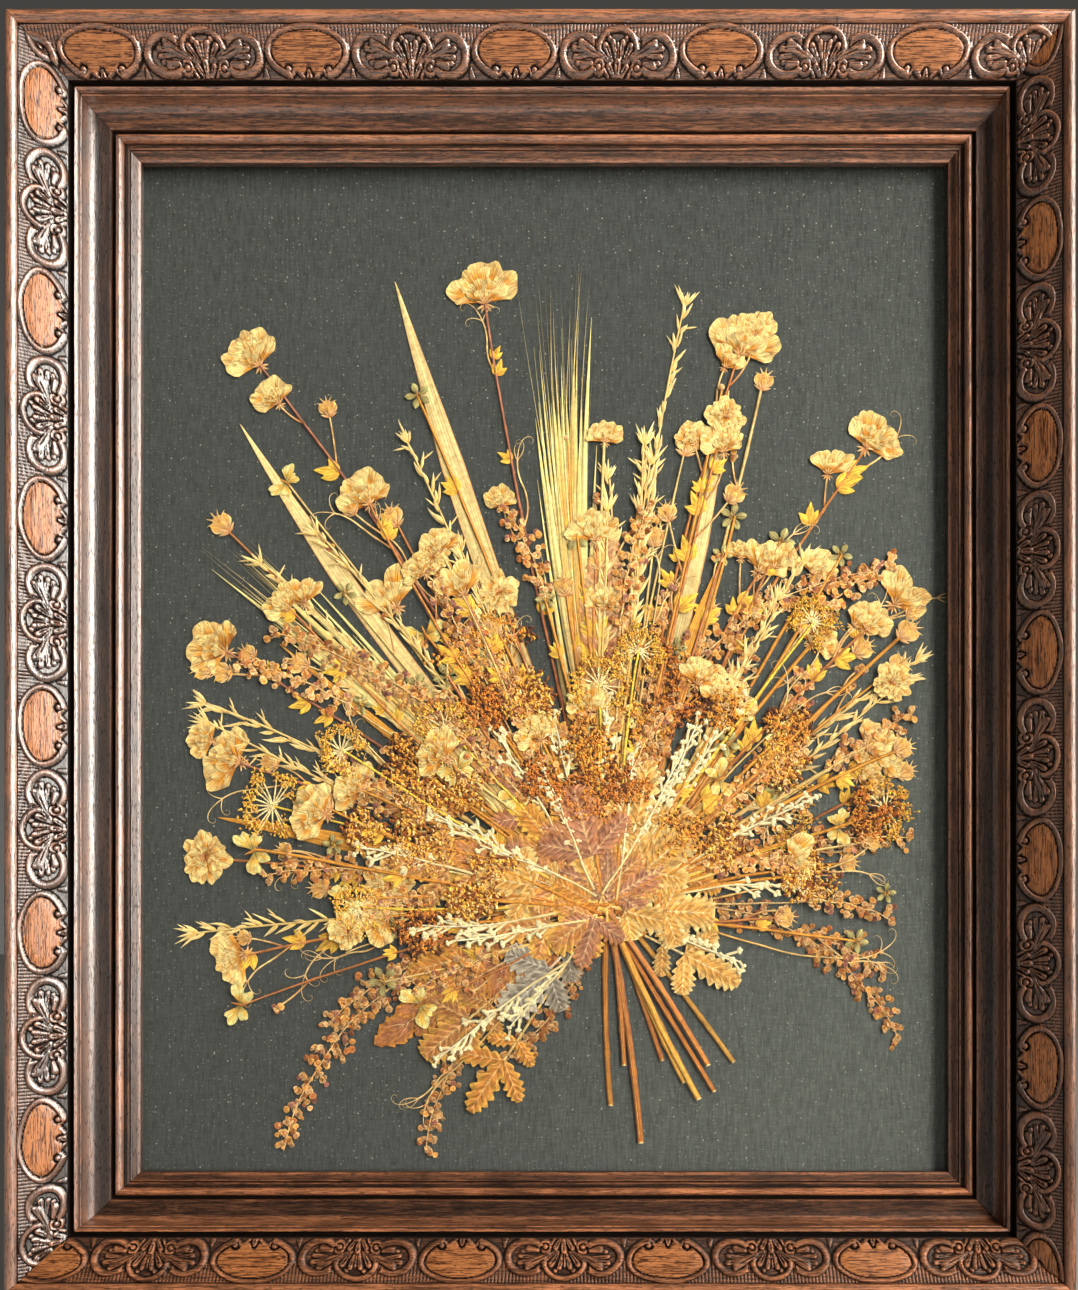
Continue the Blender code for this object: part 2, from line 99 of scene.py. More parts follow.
class MaterialMaker:
    """Builds one node material around a Principled shader, with short calls for the usual nodes."""

    def __init__(self, name: str, **sockets: float) -> None:
        """Starts the material.

        Args:
            name: the material's name.
            sockets: values for the shader's own sockets, with _ for a space.
        """
        self.material = bpy.data.materials.new(name)
        self.material.use_nodes = True
        self.tree = self.material.node_tree
        self.shader = self.tree.nodes["Principled BSDF"]
        for key, value in sockets.items():
            self.shader.inputs[key.replace("_", " ")].default_value = value

    def node(self, kind: str, inputs: dict | None = None, **settings: object) -> bpy.types.Node:
        """Adds a node.

        Args:
            kind: the node's Blender type.
            inputs: for each input, a value or the output socket that feeds it.
            settings: the node's own properties.

        Returns:
            The node.
        """
        made = self.tree.nodes.new(kind)
        for key, value in settings.items():
            setattr(made, key, value)
        for key, value in (inputs or {}).items():
            if isinstance(value, Socket):
                self.tree.links.new(value, made.inputs[key])
            else:
                made.inputs[key].default_value = value
        return made

    def place(self, scale: tuple[float, float, float] = (1, 1, 1)) -> Socket:
        """Object coordinates, each axis multiplied by its scale."""
        where = self.node("ShaderNodeTexCoord").outputs["Object"]
        return self.node("ShaderNodeMapping", {"Vector": where, "Scale": scale}).outputs[0]

    def attribute(self, name: str, output: str = "Fac") -> Socket:
        """The piece's own attribute of that name."""
        return self.node("ShaderNodeAttribute", attribute_name=name).outputs[output]

    def noise(
        self, vector: Socket, scale: float, detail: float = 3, rough: float = 0.55, warp: float = 0
    ) -> Socket:
        """Cloudy noise from 0 to 1 along the vector."""
        inputs = {"Vector": vector, "Scale": scale, "Detail": detail, "Roughness": rough, "Distortion": warp}
        return self.node("ShaderNodeTexNoise", inputs).outputs[0]

    def math(self, operation: str, first: object, second: object, clamp: bool = False) -> Socket:
        """One arithmetic step."""
        values = {0: first, 1: second}
        return self.node("ShaderNodeMath", values, operation=operation, use_clamp=clamp).outputs[0]

    def span(self, value: Socket, low: float, high: float, to_low: float = 0, to_high: float = 1) -> Socket:
        """The value taken from low..high to to_low..to_high with smooth ends, and held there."""
        inputs = {0: value, 1: low, 2: high, 3: to_low, 4: to_high}
        return self.node("ShaderNodeMapRange", inputs, interpolation_type="SMOOTHSTEP").outputs[0]

    def ramp(self, value: Socket, stops: dict[float, Colour]) -> Socket:
        """Colours along the value.

        Args:
            value: from 0 to 1.
            stops: a colour for each place along it.

        Returns:
            The colour's output.
        """
        made = self.node("ShaderNodeValToRGB", {0: value})
        for number, (position, colour) in enumerate(sorted(stops.items())):
            elements = made.color_ramp.elements
            stop = elements[number] if number < 2 else elements.new(position)
            stop.position = position
            stop.color = (*colour, 1)
        return made.outputs[0]

    def mix(self, factor: object, first: object, second: object, blend: str = "MIX") -> Socket:
        """Two colours mixed by the factor."""
        first, second = (((*c, 1) if isinstance(c, tuple) else c) for c in (first, second))
        inputs = {0: factor, 6: first, 7: second}
        return self.node("ShaderNodeMix", inputs, data_type="RGBA", blend_type=blend).outputs[2]

    def bump(self, height: Socket, strength: float, distance: float, coat: bool = False) -> None:
        """Makes the height, in units of the distance, stand out of the surface, and of its coat."""
        inputs = {"Height": height, "Strength": strength, "Distance": distance}
        made = self.node("ShaderNodeBump", inputs).outputs[0]
        for socket in ("Normal", "Coat Normal")[: 1 + coat]:
            self.feed(socket, made)

    def times(self, first: Socket, second: Socket | float, clamp: bool = False) -> Socket:
        """The product of two values, kept within 0 and 1 if clamp is on."""
        return self.math("MULTIPLY", first, second, clamp)

    def plus(self, first: Socket, second: Socket) -> Socket:
        """The sum of two values."""
        return self.math("ADD", first, second)

    def feed(self, socket: str, value: Socket) -> None:
        """Drives one of the shader's sockets."""
        self.tree.links.new(value, self.shader.inputs[socket])


class Grain(Enum):
    """The axis that a rail's wood grain runs along."""

    ACROSS = 0
    UPRIGHT = 2


@dataclass(frozen=True)
class Stick:
    """The piece of oak that one rail is cut from, and where its carving starts.

    Factors scale its stained, rubbed and bare colours as painted light and shade: each rail is
    made lighter or darker as a whole by how its light falls. Its gloss says how much varnish is
    left on it, and its dullness is the varnish's roughness.
    """

    turn: float  # degrees from the bottom rail
    grain: Grain
    first_oval: float  # mm along the rail
    stain: float
    rubbed_and_highlit: float
    bare: float
    gloss: float
    dullness: float


@dataclass(frozen=True)
class OakFinish:
    """Dark stained and varnished oak, rubbed to a warmer brown where hands and dusters touch it, with painted
    highlights on its high places and painted shade in its hollows.
    """

    name: str
    stick: Stick
    pore_and_shade: Colour = srgb("0b0604")
    dark: Colour = srgb("20130c")
    middle: Colour = srgb("3f271b")
    light: Colour = srgb("7b5138")
    rubbed_and_highlit: Colour = srgb("a86b47")
    bare_dark: Colour = srgb("522c16")
    bare_light: Colour = srgb("b07042")
    slow: float = 22  # figures per metre along the grain
    quick: float = 480  # and across it

    def stretched(self, maker: MaterialMaker, along: float, across: float) -> Socket:
        """Coordinates drawn out along the grain."""
        scale = [across, across, across]
        scale[self.stick.grain.value] = along
        return maker.place((scale[0], scale[1], scale[2]))

    def toned(self, factor: float, *colours: Colour) -> list[Colour]:
        """Colours scaled by a factor."""
        return [(red * factor, green * factor, blue * factor) for red, green, blue in colours]

    def make(self) -> Material:
        """The material; it reads three attributes, each from 0 to 1: rubbed wear with painted highlight,
        painted shade, and bare oak.
        """
        gloss = min(self.stick.gloss, 1)
        coat = {"Coat_IOR": 1.5 + self.stick.gloss, "Coat_Roughness": self.stick.dullness}
        maker = MaterialMaker(f"stained_oak_{self.name}", Specular_IOR_Level=0.35, **coat)
        # Each rail's factors make its colours lighter or darker as a whole: painted light and shade.
        dark, middle, light = self.toned(self.stick.stain, self.dark, self.middle, self.light)
        (rubbed_and_highlit,) = self.toned(self.stick.rubbed_and_highlit, self.rubbed_and_highlit)
        bare_dark, bare_light = self.toned(self.stick.bare, self.bare_dark, self.bare_light)
        figure = maker.noise(self.stretched(maker, self.slow, self.quick), 1, 2, 0.6, 0.8)
        fibre = maker.noise(self.stretched(maker, 4.5 * self.slow, 3.2 * self.quick), 1, 2, 0.75, 0.3)
        patch = maker.noise(maker.place(), 36, 1, 0.6)
        streak = maker.plus(maker.times(figure, 0.42), maker.times(fibre, 0.58))
        pores = maker.span(maker.noise(self.stretched(maker, 330, 1500), 1, 1), 0.55, 0.68)
        stain = maker.ramp(streak, {0.37: dark, 0.49: middle, 0.63: light})
        # Rubbed wear and painted highlight: worn places turn to the lighter rubbed colour.
        rubbing_and_highlight = maker.times(maker.attribute("worn"), maker.span(patch, 0.3, 0.65, 0.5, 1))
        rubbing_and_highlight = maker.times(rubbing_and_highlight, maker.span(streak, 0.42, 0.56, 0.3, 1), clamp=True)
        colour = maker.mix(rubbing_and_highlight, stain, rubbed_and_highlit)
        lines = maker.span(maker.noise(self.stretched(maker, 44, 1150), 1, 1, 0.65, 1.6), 0.38, 0.54)
        colour = maker.mix(maker.attribute("bare"), colour, maker.mix(lines, bare_dark, bare_light))
        colour = maker.mix(maker.times(pores, 0.6), colour, self.pore_and_shade)
        painted_shade = maker.attribute("painted_shade")
        # Painted shade: hollows, grooves and the carving's ground go towards near black.
        colour = maker.mix(maker.span(painted_shade, 0.15, 0.95, 0, 0.93), colour, self.pore_and_shade)
        maker.feed("Base Color", colour)
        rough = maker.span(fibre, 0.35, 0.65, 0.30, 0.46)
        maker.feed("Roughness", maker.plus(rough, maker.times(painted_shade, 0.4)))
        varnish = maker.span(maker.attribute("bare"), 0, 1, gloss, 0.3 * gloss)
        varnish = maker.times(varnish, maker.span(painted_shade, 0.1, 0.9, 1, 0))
        maker.feed("Coat Weight", maker.times(varnish, maker.span(pores, 0, 1, 1, 0.4)))
        height = maker.plus(fibre, maker.times(figure, 0.5))
        maker.bump(maker.math("SUBTRACT", height, maker.times(pores, 0.25)), 0.6, 0.3 * MM, coat=True)
        return maker.material


@dataclass(frozen=True)
class GlassFinish:
    """Plain picture glass with the faintest green."""

    tint: Colour = (0.985, 1, 0.992)

    def make(self) -> Material:
        """The material."""
        maker = MaterialMaker("glass", Transmission_Weight=1, IOR=1.5, Roughness=0.02)
        smear = maker.noise(maker.place(), 9, 2)
        maker.feed("Base Color", maker.mix(smear, self.tint, (0.97, 0.985, 0.98)))
        return maker.material


@dataclass(frozen=True)
class ClothFinish:
    """Charcoal cloth with a fine upright slub, lighter at its lower right as a painted reflection, and pale
    specks of dust.
    """

    dark: Colour = srgb("252826")
    light: Colour = srgb("4a4e4b")
    painted_veil: Colour = srgb("70766f")
    dust: Colour = srgb("cfcec0")

    def make(self) -> Material:
        """The material."""
        maker = MaterialMaker("charcoal_cloth", Roughness=0.95, Specular_IOR_Level=0.15, Sheen_Weight=0.25)
        slub = maker.noise(maker.place((900, 900, 120)), 1, 3, 0.6)
        weft = maker.noise(maker.place((160, 900, 1100)), 1, 2, 0.6)
        weave = maker.plus(maker.times(slub, 0.65), maker.times(weft, 0.35))
        colour = maker.ramp(weave, {0.34: self.dark, 0.66: self.light})
        shade = maker.noise(maker.place(), 2.2, 1)
        colour = maker.mix(maker.span(shade, 0.3, 0.7, 0, 0.3), colour, self.light)
        # Painted reflection: the cloth turns lighter towards its lower right.
        split = maker.node("ShaderNodeSeparateXYZ", {0: maker.place((1, 1, -0.5))}).outputs
        veil_mask = maker.span(maker.plus(split["X"], split["Z"]), 0.08, 0.48, 0, 0.62)
        colour = maker.mix(veil_mask, colour, maker.ramp(weave, {0.30: self.light, 0.70: self.painted_veil}))
        turned = {0: maker.place(), "Rotation": (math.pi / 2, 0, 0)}
        upright = maker.node("ShaderNodeMapping", turned).outputs[0]
        for scale, reach, rare, strength in ((125, 0.065, 0.45, 0.6), (320, 0.15, 0.45, 0.25)):
            place = {"Vector": upright, "Scale": scale}
            cell = maker.node("ShaderNodeTexVoronoi", place, voronoi_dimensions="2D")
            lone = maker.node("ShaderNodeSeparateColor", {0: cell.outputs["Color"]}).outputs[0]
            near = maker.span(cell.outputs["Distance"], 0.4 * reach, reach, 1, 0)
            speck = maker.times(near, maker.span(lone, rare, 1, 0, strength))
            colour = maker.mix(speck, colour, self.dust)
        maker.feed("Base Color", colour)
        maker.bump(weave, 0.3, 0.08 * MM)
        return maker.material


@dataclass(frozen=True)
class BoardFinish:
    """A pressed or layered board: two tones in soft streaks along X."""

    name: str
    dark: Colour
    light: Colour
    streak: tuple[float, float, float]
    roughness: float

    def make(self) -> Material:
        """The material."""
        maker = MaterialMaker(self.name, Roughness=self.roughness, Specular_IOR_Level=0.3)
        fibre = maker.noise(maker.place(self.streak), 1, 5, 0.65, 0.4)
        stain = maker.noise(maker.place(), 6, 3)
        blend = maker.plus(maker.times(fibre, 0.7), maker.times(stain, 0.3))
        maker.feed("Base Color", maker.ramp(blend, {0.3: self.dark, 0.7: self.light}))
        maker.bump(fibre, 0.4, 0.2 * MM)
        return maker.material


@dataclass(frozen=True)
class MetalFinish:
    """Small hardware: bright metal dulled in patches."""

    name: str
    bright: Colour
    dull: Colour

    def make(self) -> Material:
        """The material."""
        maker = MaterialMaker(self.name, Metallic=1)
        tarnish = maker.noise(maker.place(), 420, 4, 0.6)
        maker.feed("Base Color", maker.ramp(tarnish, {0.35: self.bright, 0.65: self.dull}))
        maker.feed("Roughness", maker.span(tarnish, 0.3, 0.7, 0.25, 0.55))
        return maker.material


# ---- mesh tools


def grid_quads(rows: int, columns: int) -> Array:
    """Quads of a grid whose points are stored row by row.

    Args:
        rows: how many rows of points.
        columns: how many points in a row.

    Returns:
        One line of four point indices for each quad.
    """
    corner = (np.arange(rows - 1)[:, None] * columns + np.arange(columns - 1)).reshape(-1)
    return np.column_stack([corner, corner + 1, corner + columns + 1, corner + columns])


def signed_volume(points: Array, faces: list[Array]) -> float:
    """Six times the volume inside the faces, negative if they point inwards.

    Args:
        points: all points, one per line.
        faces: arrays of faces; the faces of one array have the same number of corners.

    Returns:
        The sum, over a fan of triangles on each face, of the triple products of the corners.
    """
    total = 0
    for group in faces:
        for second in range(1, group.shape[1] - 1):
            a, b, c = points[group[:, 0]], points[group[:, second]], points[group[:, second + 1]]
            total += float(np.einsum("ij,ij->", a, np.cross(b, c)))
    return total


def new_piece(
    name: str, points: Array, faces: list[Array], material: Material,
    attributes: dict[str, Array] | None = None, sharp_angle: float = 40,
) -> Piece:
    """A mesh object that rides on the frame's body.

    Args:
        name: the piece's name.
        points: its points in metres, one per line.
        faces: arrays of faces, each with its own number of corners.
        material: its finish.
        attributes: values for each point: one number, or three for a colour.
        sharp_angle: edges turned by more than this many degrees are left sharp.

    Returns:
        The object, at the origin.
    """
    if signed_volume(points - points.mean(0), faces) < 0:
        faces = [group[:, ::-1] for group in faces]
    mesh = bpy.data.meshes.new(name)
    corners = np.concatenate([group.ravel() for group in faces])
    counts = np.concatenate([np.full(len(group), group.shape[1]) for group in faces])
    mesh.vertices.add(len(points))
    mesh.vertices.foreach_set("co", points.astype(np.float32).ravel())
    mesh.loops.add(len(corners))
    mesh.loops.foreach_set("vertex_index", corners.astype(np.int32))
    mesh.polygons.add(len(counts))
    mesh.polygons.foreach_set("loop_start", (np.cumsum(counts) - counts).astype(np.int32))
    mesh.polygons.foreach_set("loop_total", counts.astype(np.int32))
    for key, values in (attributes or {}).items():
        if values.ndim == 1:
            mesh.attributes.new(key, "FLOAT", "POINT").data.foreach_set("value", values.astype(np.float32))
        else:
            colours = np.column_stack([values, np.ones(len(values))]).astype(np.float32)
            mesh.attributes.new(key, "FLOAT_COLOR", "POINT").data.foreach_set("color", colours.ravel())
    mesh.update(calc_edges=True)
    mesh.validate()
    mesh.shade_smooth()
    mesh.set_sharp_from_angle(angle=math.radians(sharp_angle))
    mesh.materials.append(material)
    piece = bpy.data.objects.new(name, mesh)
    bpy.context.scene.collection.objects.link(piece)
    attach(piece, BODY)
    LOG.info("%s: %d points, %d faces", name, len(points), len(counts))
    return piece


def dress(node: str, material: Material) -> Piece:
    """Gives a CAD node that stays a better material.

    Args:
        node: the node's name.
        material: the finish.

    Returns:
        The node's object.
    """
    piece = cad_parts[node]
    if piece.material_slots:
        piece.material_slots[0].material = material
    else:
        piece.data.materials.append(material)
    LOG.info("%s: dressed in %s", node, material.name)
    return piece


# ---- the carved frame


def smooth_step(values: Array, low: float, high: float) -> Array:
    """0 below low, 1 above high, and a smooth S between."""
    t = np.clip((values - low) / (high - low), 0, 1)
    return t * t * (3 - 2 * t)


def dome(distance: Array, reach: Many) -> Array:
    """A rounded hill: 1 where the distance is 0, and 0 from the reach on, as a circle's arc."""
    return np.sqrt(np.clip(1 - (distance / reach) ** 2, 0, 1))


def lip(distance: Array, inner: Many, outer: Many) -> Array:
    """A rim's section: a slow rounded slope outside its crest, at 0, and a steep one inside."""
    return dome(distance, np.where(distance < 0, inner, outer))


def off_ellipse(s: Array, v: Array, centre: Point2, radii: Point2) -> Array:
    """Distance outwards from an ellipse, measured on the ray from its centre (negative inside)."""
    ds, dv = s - centre[0], v - centre[1]
    rho = np.maximum(np.hypot(ds / radii[0], dv / radii[1]), 1e-6)
    return (rho - 1) * np.hypot(ds, dv) / rho


def teardrop(s: Array, v: Array, root: Point2, tip: Point2, widths: Point2, vein: float = 0) -> Array:
    """A raised drop from root to tip.

    Its half width goes evenly from the first to the second of the widths, its ends are round and
    its top is an arc. A vein cuts a groove of that depth along the middle.

    Args:
        s: places along the rail in mm.
        v: places across the band in mm.
        root: the drop's narrow end.
        tip: its wide end.
        widths: half widths at root and tip in mm.
        vein: depth of the groove, from 0 to 1.

    Returns:
        Heights from 0 to 1.
    """
    axis = np.array(tip) - np.array(root)
    along = ((s - root[0]) * axis[0] + (v - root[1]) * axis[1]) / (axis @ axis)
    held = np.clip(along, 0, 1)
    distance = np.hypot(s - root[0] - held * axis[0], v - root[1] - held * axis[1])
    reach = widths[0] + (widths[1] - widths[0]) * held
    groove = vein * dome(distance, 0.55) * smooth_step(1.02 - held, 0, 0.3)
    return dome(distance, reach) * (1 - groove)


class RailSide(Enum):
    """The four rails, each with the stick it is cut from."""

    # The stain, rubbed and bare factors of each rail paint in how brightly its light falls on it.
    BOTTOM = Stick(0, Grain.ACROSS, -42.3, 0.87, 1.3, 0.85, 0.2, 0.28)
    RIGHT = Stick(90, Grain.UPRIGHT, 1.6, 0.72, 0.85, 0.64, 0.9, 0.3)
    TOP = Stick(180, Grain.ACROSS, 14.1, 2.3, 2.05, 1.2, 2.4, 0.2)
    LEFT = Stick(270, Grain.UPRIGHT, 36.5, 0.5, 1.5, 1.3, 2.8, 0.36)

    @property
    def turn(self) -> float:
        """The turn in the picture's plane, in radians."""
        return math.radians(self.value.turn)


@dataclass(frozen=True)
class CarvedPattern:
    """The band's running pattern: plain ovals in open scroll rims, and palmettes between them.

    All sizes are in mm: s runs along the rail and v across the band, from the picture outwards.
    """

    period: float = 108.5
    width: float = 23.08
    middle: float = 11.9
    rib_pitch: float = 1.85

    def oval(self, s: Array, v: Array) -> tuple[Array, Array]:
        """The oval unit.

        A flat oval face, fuller towards the picture, stands inside a V groove and a rounded rim.
        The rim is open towards the picture, where its ends curl round two small balls with a
        three-part leaf between them.

        Args:
            s: places along the rail from the oval's middle.
            v: places across the band.

        Returns:
            Heights in mm, and how much each place is bare oak, from 0 to 1.
        """
        a = np.abs(s)
        ball_at = (10.2, 3.7)
        full = v - 0.13 * np.minimum(v - self.middle, 0)
        rim = 2.8 * lip(off_ellipse(a, full, (0, self.middle), (20.2, 10.1)), 1.2, 2.1)
        rim *= 1 - smooth_step(9.6 - a, 0, 1) * smooth_step(self.middle - v, 2, 4)
        inside = -off_ellipse(a, full, (0, self.middle), (18.6, 8.8))
        ball = np.hypot(a - ball_at[0], v - ball_at[1])
        leaf_gap = np.maximum(teardrop(a, v, (0, -1), (0, 3.9), (4.8, 1.6)), dome(ball, 2.9))
        face = (2.1 + 0.5 * smooth_step(inside, 0.3, 6)) * smooth_step(inside, 0, 0.5)
        face *= 1 - smooth_step(leaf_gap, 0, 0.25)
        curl = 2.3 * dome(ball - 2.55, 0.75) * smooth_step(10.6 - a, 0, 1.5) * smooth_step(5.2 - v, 0, 1.5)
        bud = 2.8 * teardrop(a, v, (0, 0.6), (0, 3.4), (1.9, 1), 0.3)
        side_leaf = 2.4 * teardrop(a, v, (2.7, 0.5), (4.9, 2.8), (0.8, 1.2))
        parts = [rim, face, 2.9 * dome(ball, 1.85), curl, bud, side_leaf]
        return np.maximum.reduce(parts), smooth_step(face, 1.5, 1.95)

    def palmette(self, s: Array, v: Array) -> Array:
        """The palmette unit.

        Under a hooded arch, a bud carries a stem, two tall lobes that curl out at their tips, and
        two leaves on either side. Beside it a broad C scroll, which ends in a ball, holds an
        acanthus leaf of three lobes.

        Args:
            s: places along the rail from the palmette's middle.
            v: places across the band.

        Returns:
            Heights in mm.
        """
        a = np.abs(s)
        arch_at, scroll_at, ball_at = (0, 12.6), (19.2, 9.9), (9.9, 4.6)
        hood = off_ellipse(a, v, arch_at, (9.7, 8))
        arch = 2.95 * lip(hood, 0.95, 2.2) * smooth_step(v, 10.5, 12.5)
        under_arch = 0.8 * smooth_step(-hood, 0, 0.8) * smooth_step(v, 8.5, 10)
        scroll = off_ellipse(a, v, scroll_at, (9.9, 8.5))
        opening = smooth_step(13.4 - a, 0, 1.4) * smooth_step(v, 3.6, 4.8) * smooth_step(17.4 - v, 0, 1.5)
        rim = 2.85 * lip(scroll, 2.1, 1.5 + 0.6 * smooth_step(a, 17, 27)) * (1 - opening)
        panel = 0.95 * smooth_step(-scroll, 1.5, 2.5)
        ball = np.hypot(a - ball_at[0], v - ball_at[1])
        curl = 2.6 * dome(ball - 2.9, 0.9) * smooth_step(a, 5.7, 7.7)
        curl *= 1 - smooth_step(a, 11.3, 12.7) * smooth_step(v, 4, 5.5)
        # Root, tip, half widths, height in mm and vein of each drop.
        leaves = (
            ((0, 8.2), (0, 15), (0.4, 0.8), 2, 0),
            ((1.2, 8.2), (2.6, 15.4), (0.6, 1.5), 2.9, 0.35),
            ((3, 7.4), (6.9, 13.9), (0.7, 1.8), 2.8, 0.5),
            ((4, 6.6), (9.8, 11.4), (0.7, 1.5), 2.5, 0.4),
            ((2, 1.2), (4.5, 5.3), (0.9, 1.5), 2.7, 0.45),
            ((5.1, 0.8), (6.7, 3.4), (0.7, 1), 2.3, 0),
            ((0, 3), (0, 6.8), (1.4, 1.8), 3, 0.35),
            ((7.8, 8.6), (18.3, 13.3), (1.3, 3.2), 2.55, 0.2),
            ((13, 12.4), (19.4, 15.6), (0.8, 1.5), 2.75, 0.3),
            ((15.4, 11.2), (23, 12.7), (0.8, 1.6), 2.5, 0.3),
            ((15, 10), (22.6, 9.2), (0.8, 1.5), 2.3, 0.3),
            ((13.8, 6.4), (18.4, 5.6), (1.3, 2.3), 2.6, 0),
            ((16.8, 6.4), (21.4, 6.6), (0.8, 1.4), 2.3, 0.3),
        )
        knob = 2.8 * dome(np.hypot(a - 4.5, v - 17), 1.3)
        foot = 2.2 * dome(np.hypot(a, v - 1.2), 1.6)
        parts = [arch, under_arch, rim, panel, 2.9 * dome(ball, 1.7), curl, knob, foot]
        for root, tip, widths, height, vein in leaves:
            parts.append(height * teardrop(a, v, root, tip, widths, vein))
        return np.maximum.reduce(parts)

    def relief(self, along: Array, v: Array, start: float) -> dict[str, Array]:
        """Heights, wear with painted highlight, and painted shade of the whole band.

        The two units alternate at half the period. The ground between them is ribbed next to the
        outer bead and has a small dart next to the picture. A slow sum of sines moves every line a
        little, as a hand tool does.

        Args:
            along: places along the rail from its middle, in mm.
            v: places across the band, in mm.
            start: where one oval's middle is, in mm.

        Returns:
            height in mm, and wear with painted highlight, painted shade and bare oak, each from 0 to 1.
        """
        wander = 0.28 * np.sin(along / 13.7 + v / 4.1) + 0.2 * np.sin(along / 5.3 - v / 2.9)
        s = along - start + wander
        w = v + 0.22 * np.sin(along / 9.1 + 1.3) + 0.15 * np.sin(along / 3.7 + v / 5)
        from_oval = (s + self.period / 2) % self.period - self.period / 2
        from_palmette = s % self.period - self.period / 2
        oval, bare = self.oval(from_oval, w)
        motif = np.maximum(oval, self.palmette(from_palmette, w))
        between = np.abs(np.abs(from_palmette) - 31.4)
        motif = np.maximum(motif, 1.2 * teardrop(between, w, (0, 0.8), (0, 4.6), (1.8, 0.5)))
        ground = 1 - smooth_step(motif, 0.05, 0.35)
        rib = np.abs(np.sin(np.pi * along / self.rib_pitch)) ** 0.8
        ribs = rib * smooth_step(w, 10.5, 12.5)
        height = np.maximum(motif, (0.5 + 0.85 * ribs) * ground)
        soft = height.copy()
        for _ in range(3):
            soft[1:-1, 1:-1] = (
                soft[1:-1, 1:-1] * 2 + soft[:-2, 1:-1] + soft[2:, 1:-1] + soft[1:-1, :-2] + soft[1:-1, 2:]
            ) / 6
        edge, ribbed = height - soft, ribs * ground
        # Crests and high places are lightened as rubbed wear and painted highlight; the ground and the
        # creases are darkened as painted shade.
        worn = smooth_step(height, 1.5, 2.9) * 0.36 + smooth_step(edge, 0.02, 0.3) * 0.6 + 0.15 * ribbed
        painted_shade = (1 - smooth_step(height, 0.1, 1.1)) * 0.6 + smooth_step(-edge, 0.015, 0.14) * 1.1
        worn, painted_shade = (np.clip(values, 0, 1) for values in (worn, painted_shade * (1 - 0.9 * ribbed)))
        return {"height": height, "worn": worn, "painted_shade": painted_shade, "bare": bare}


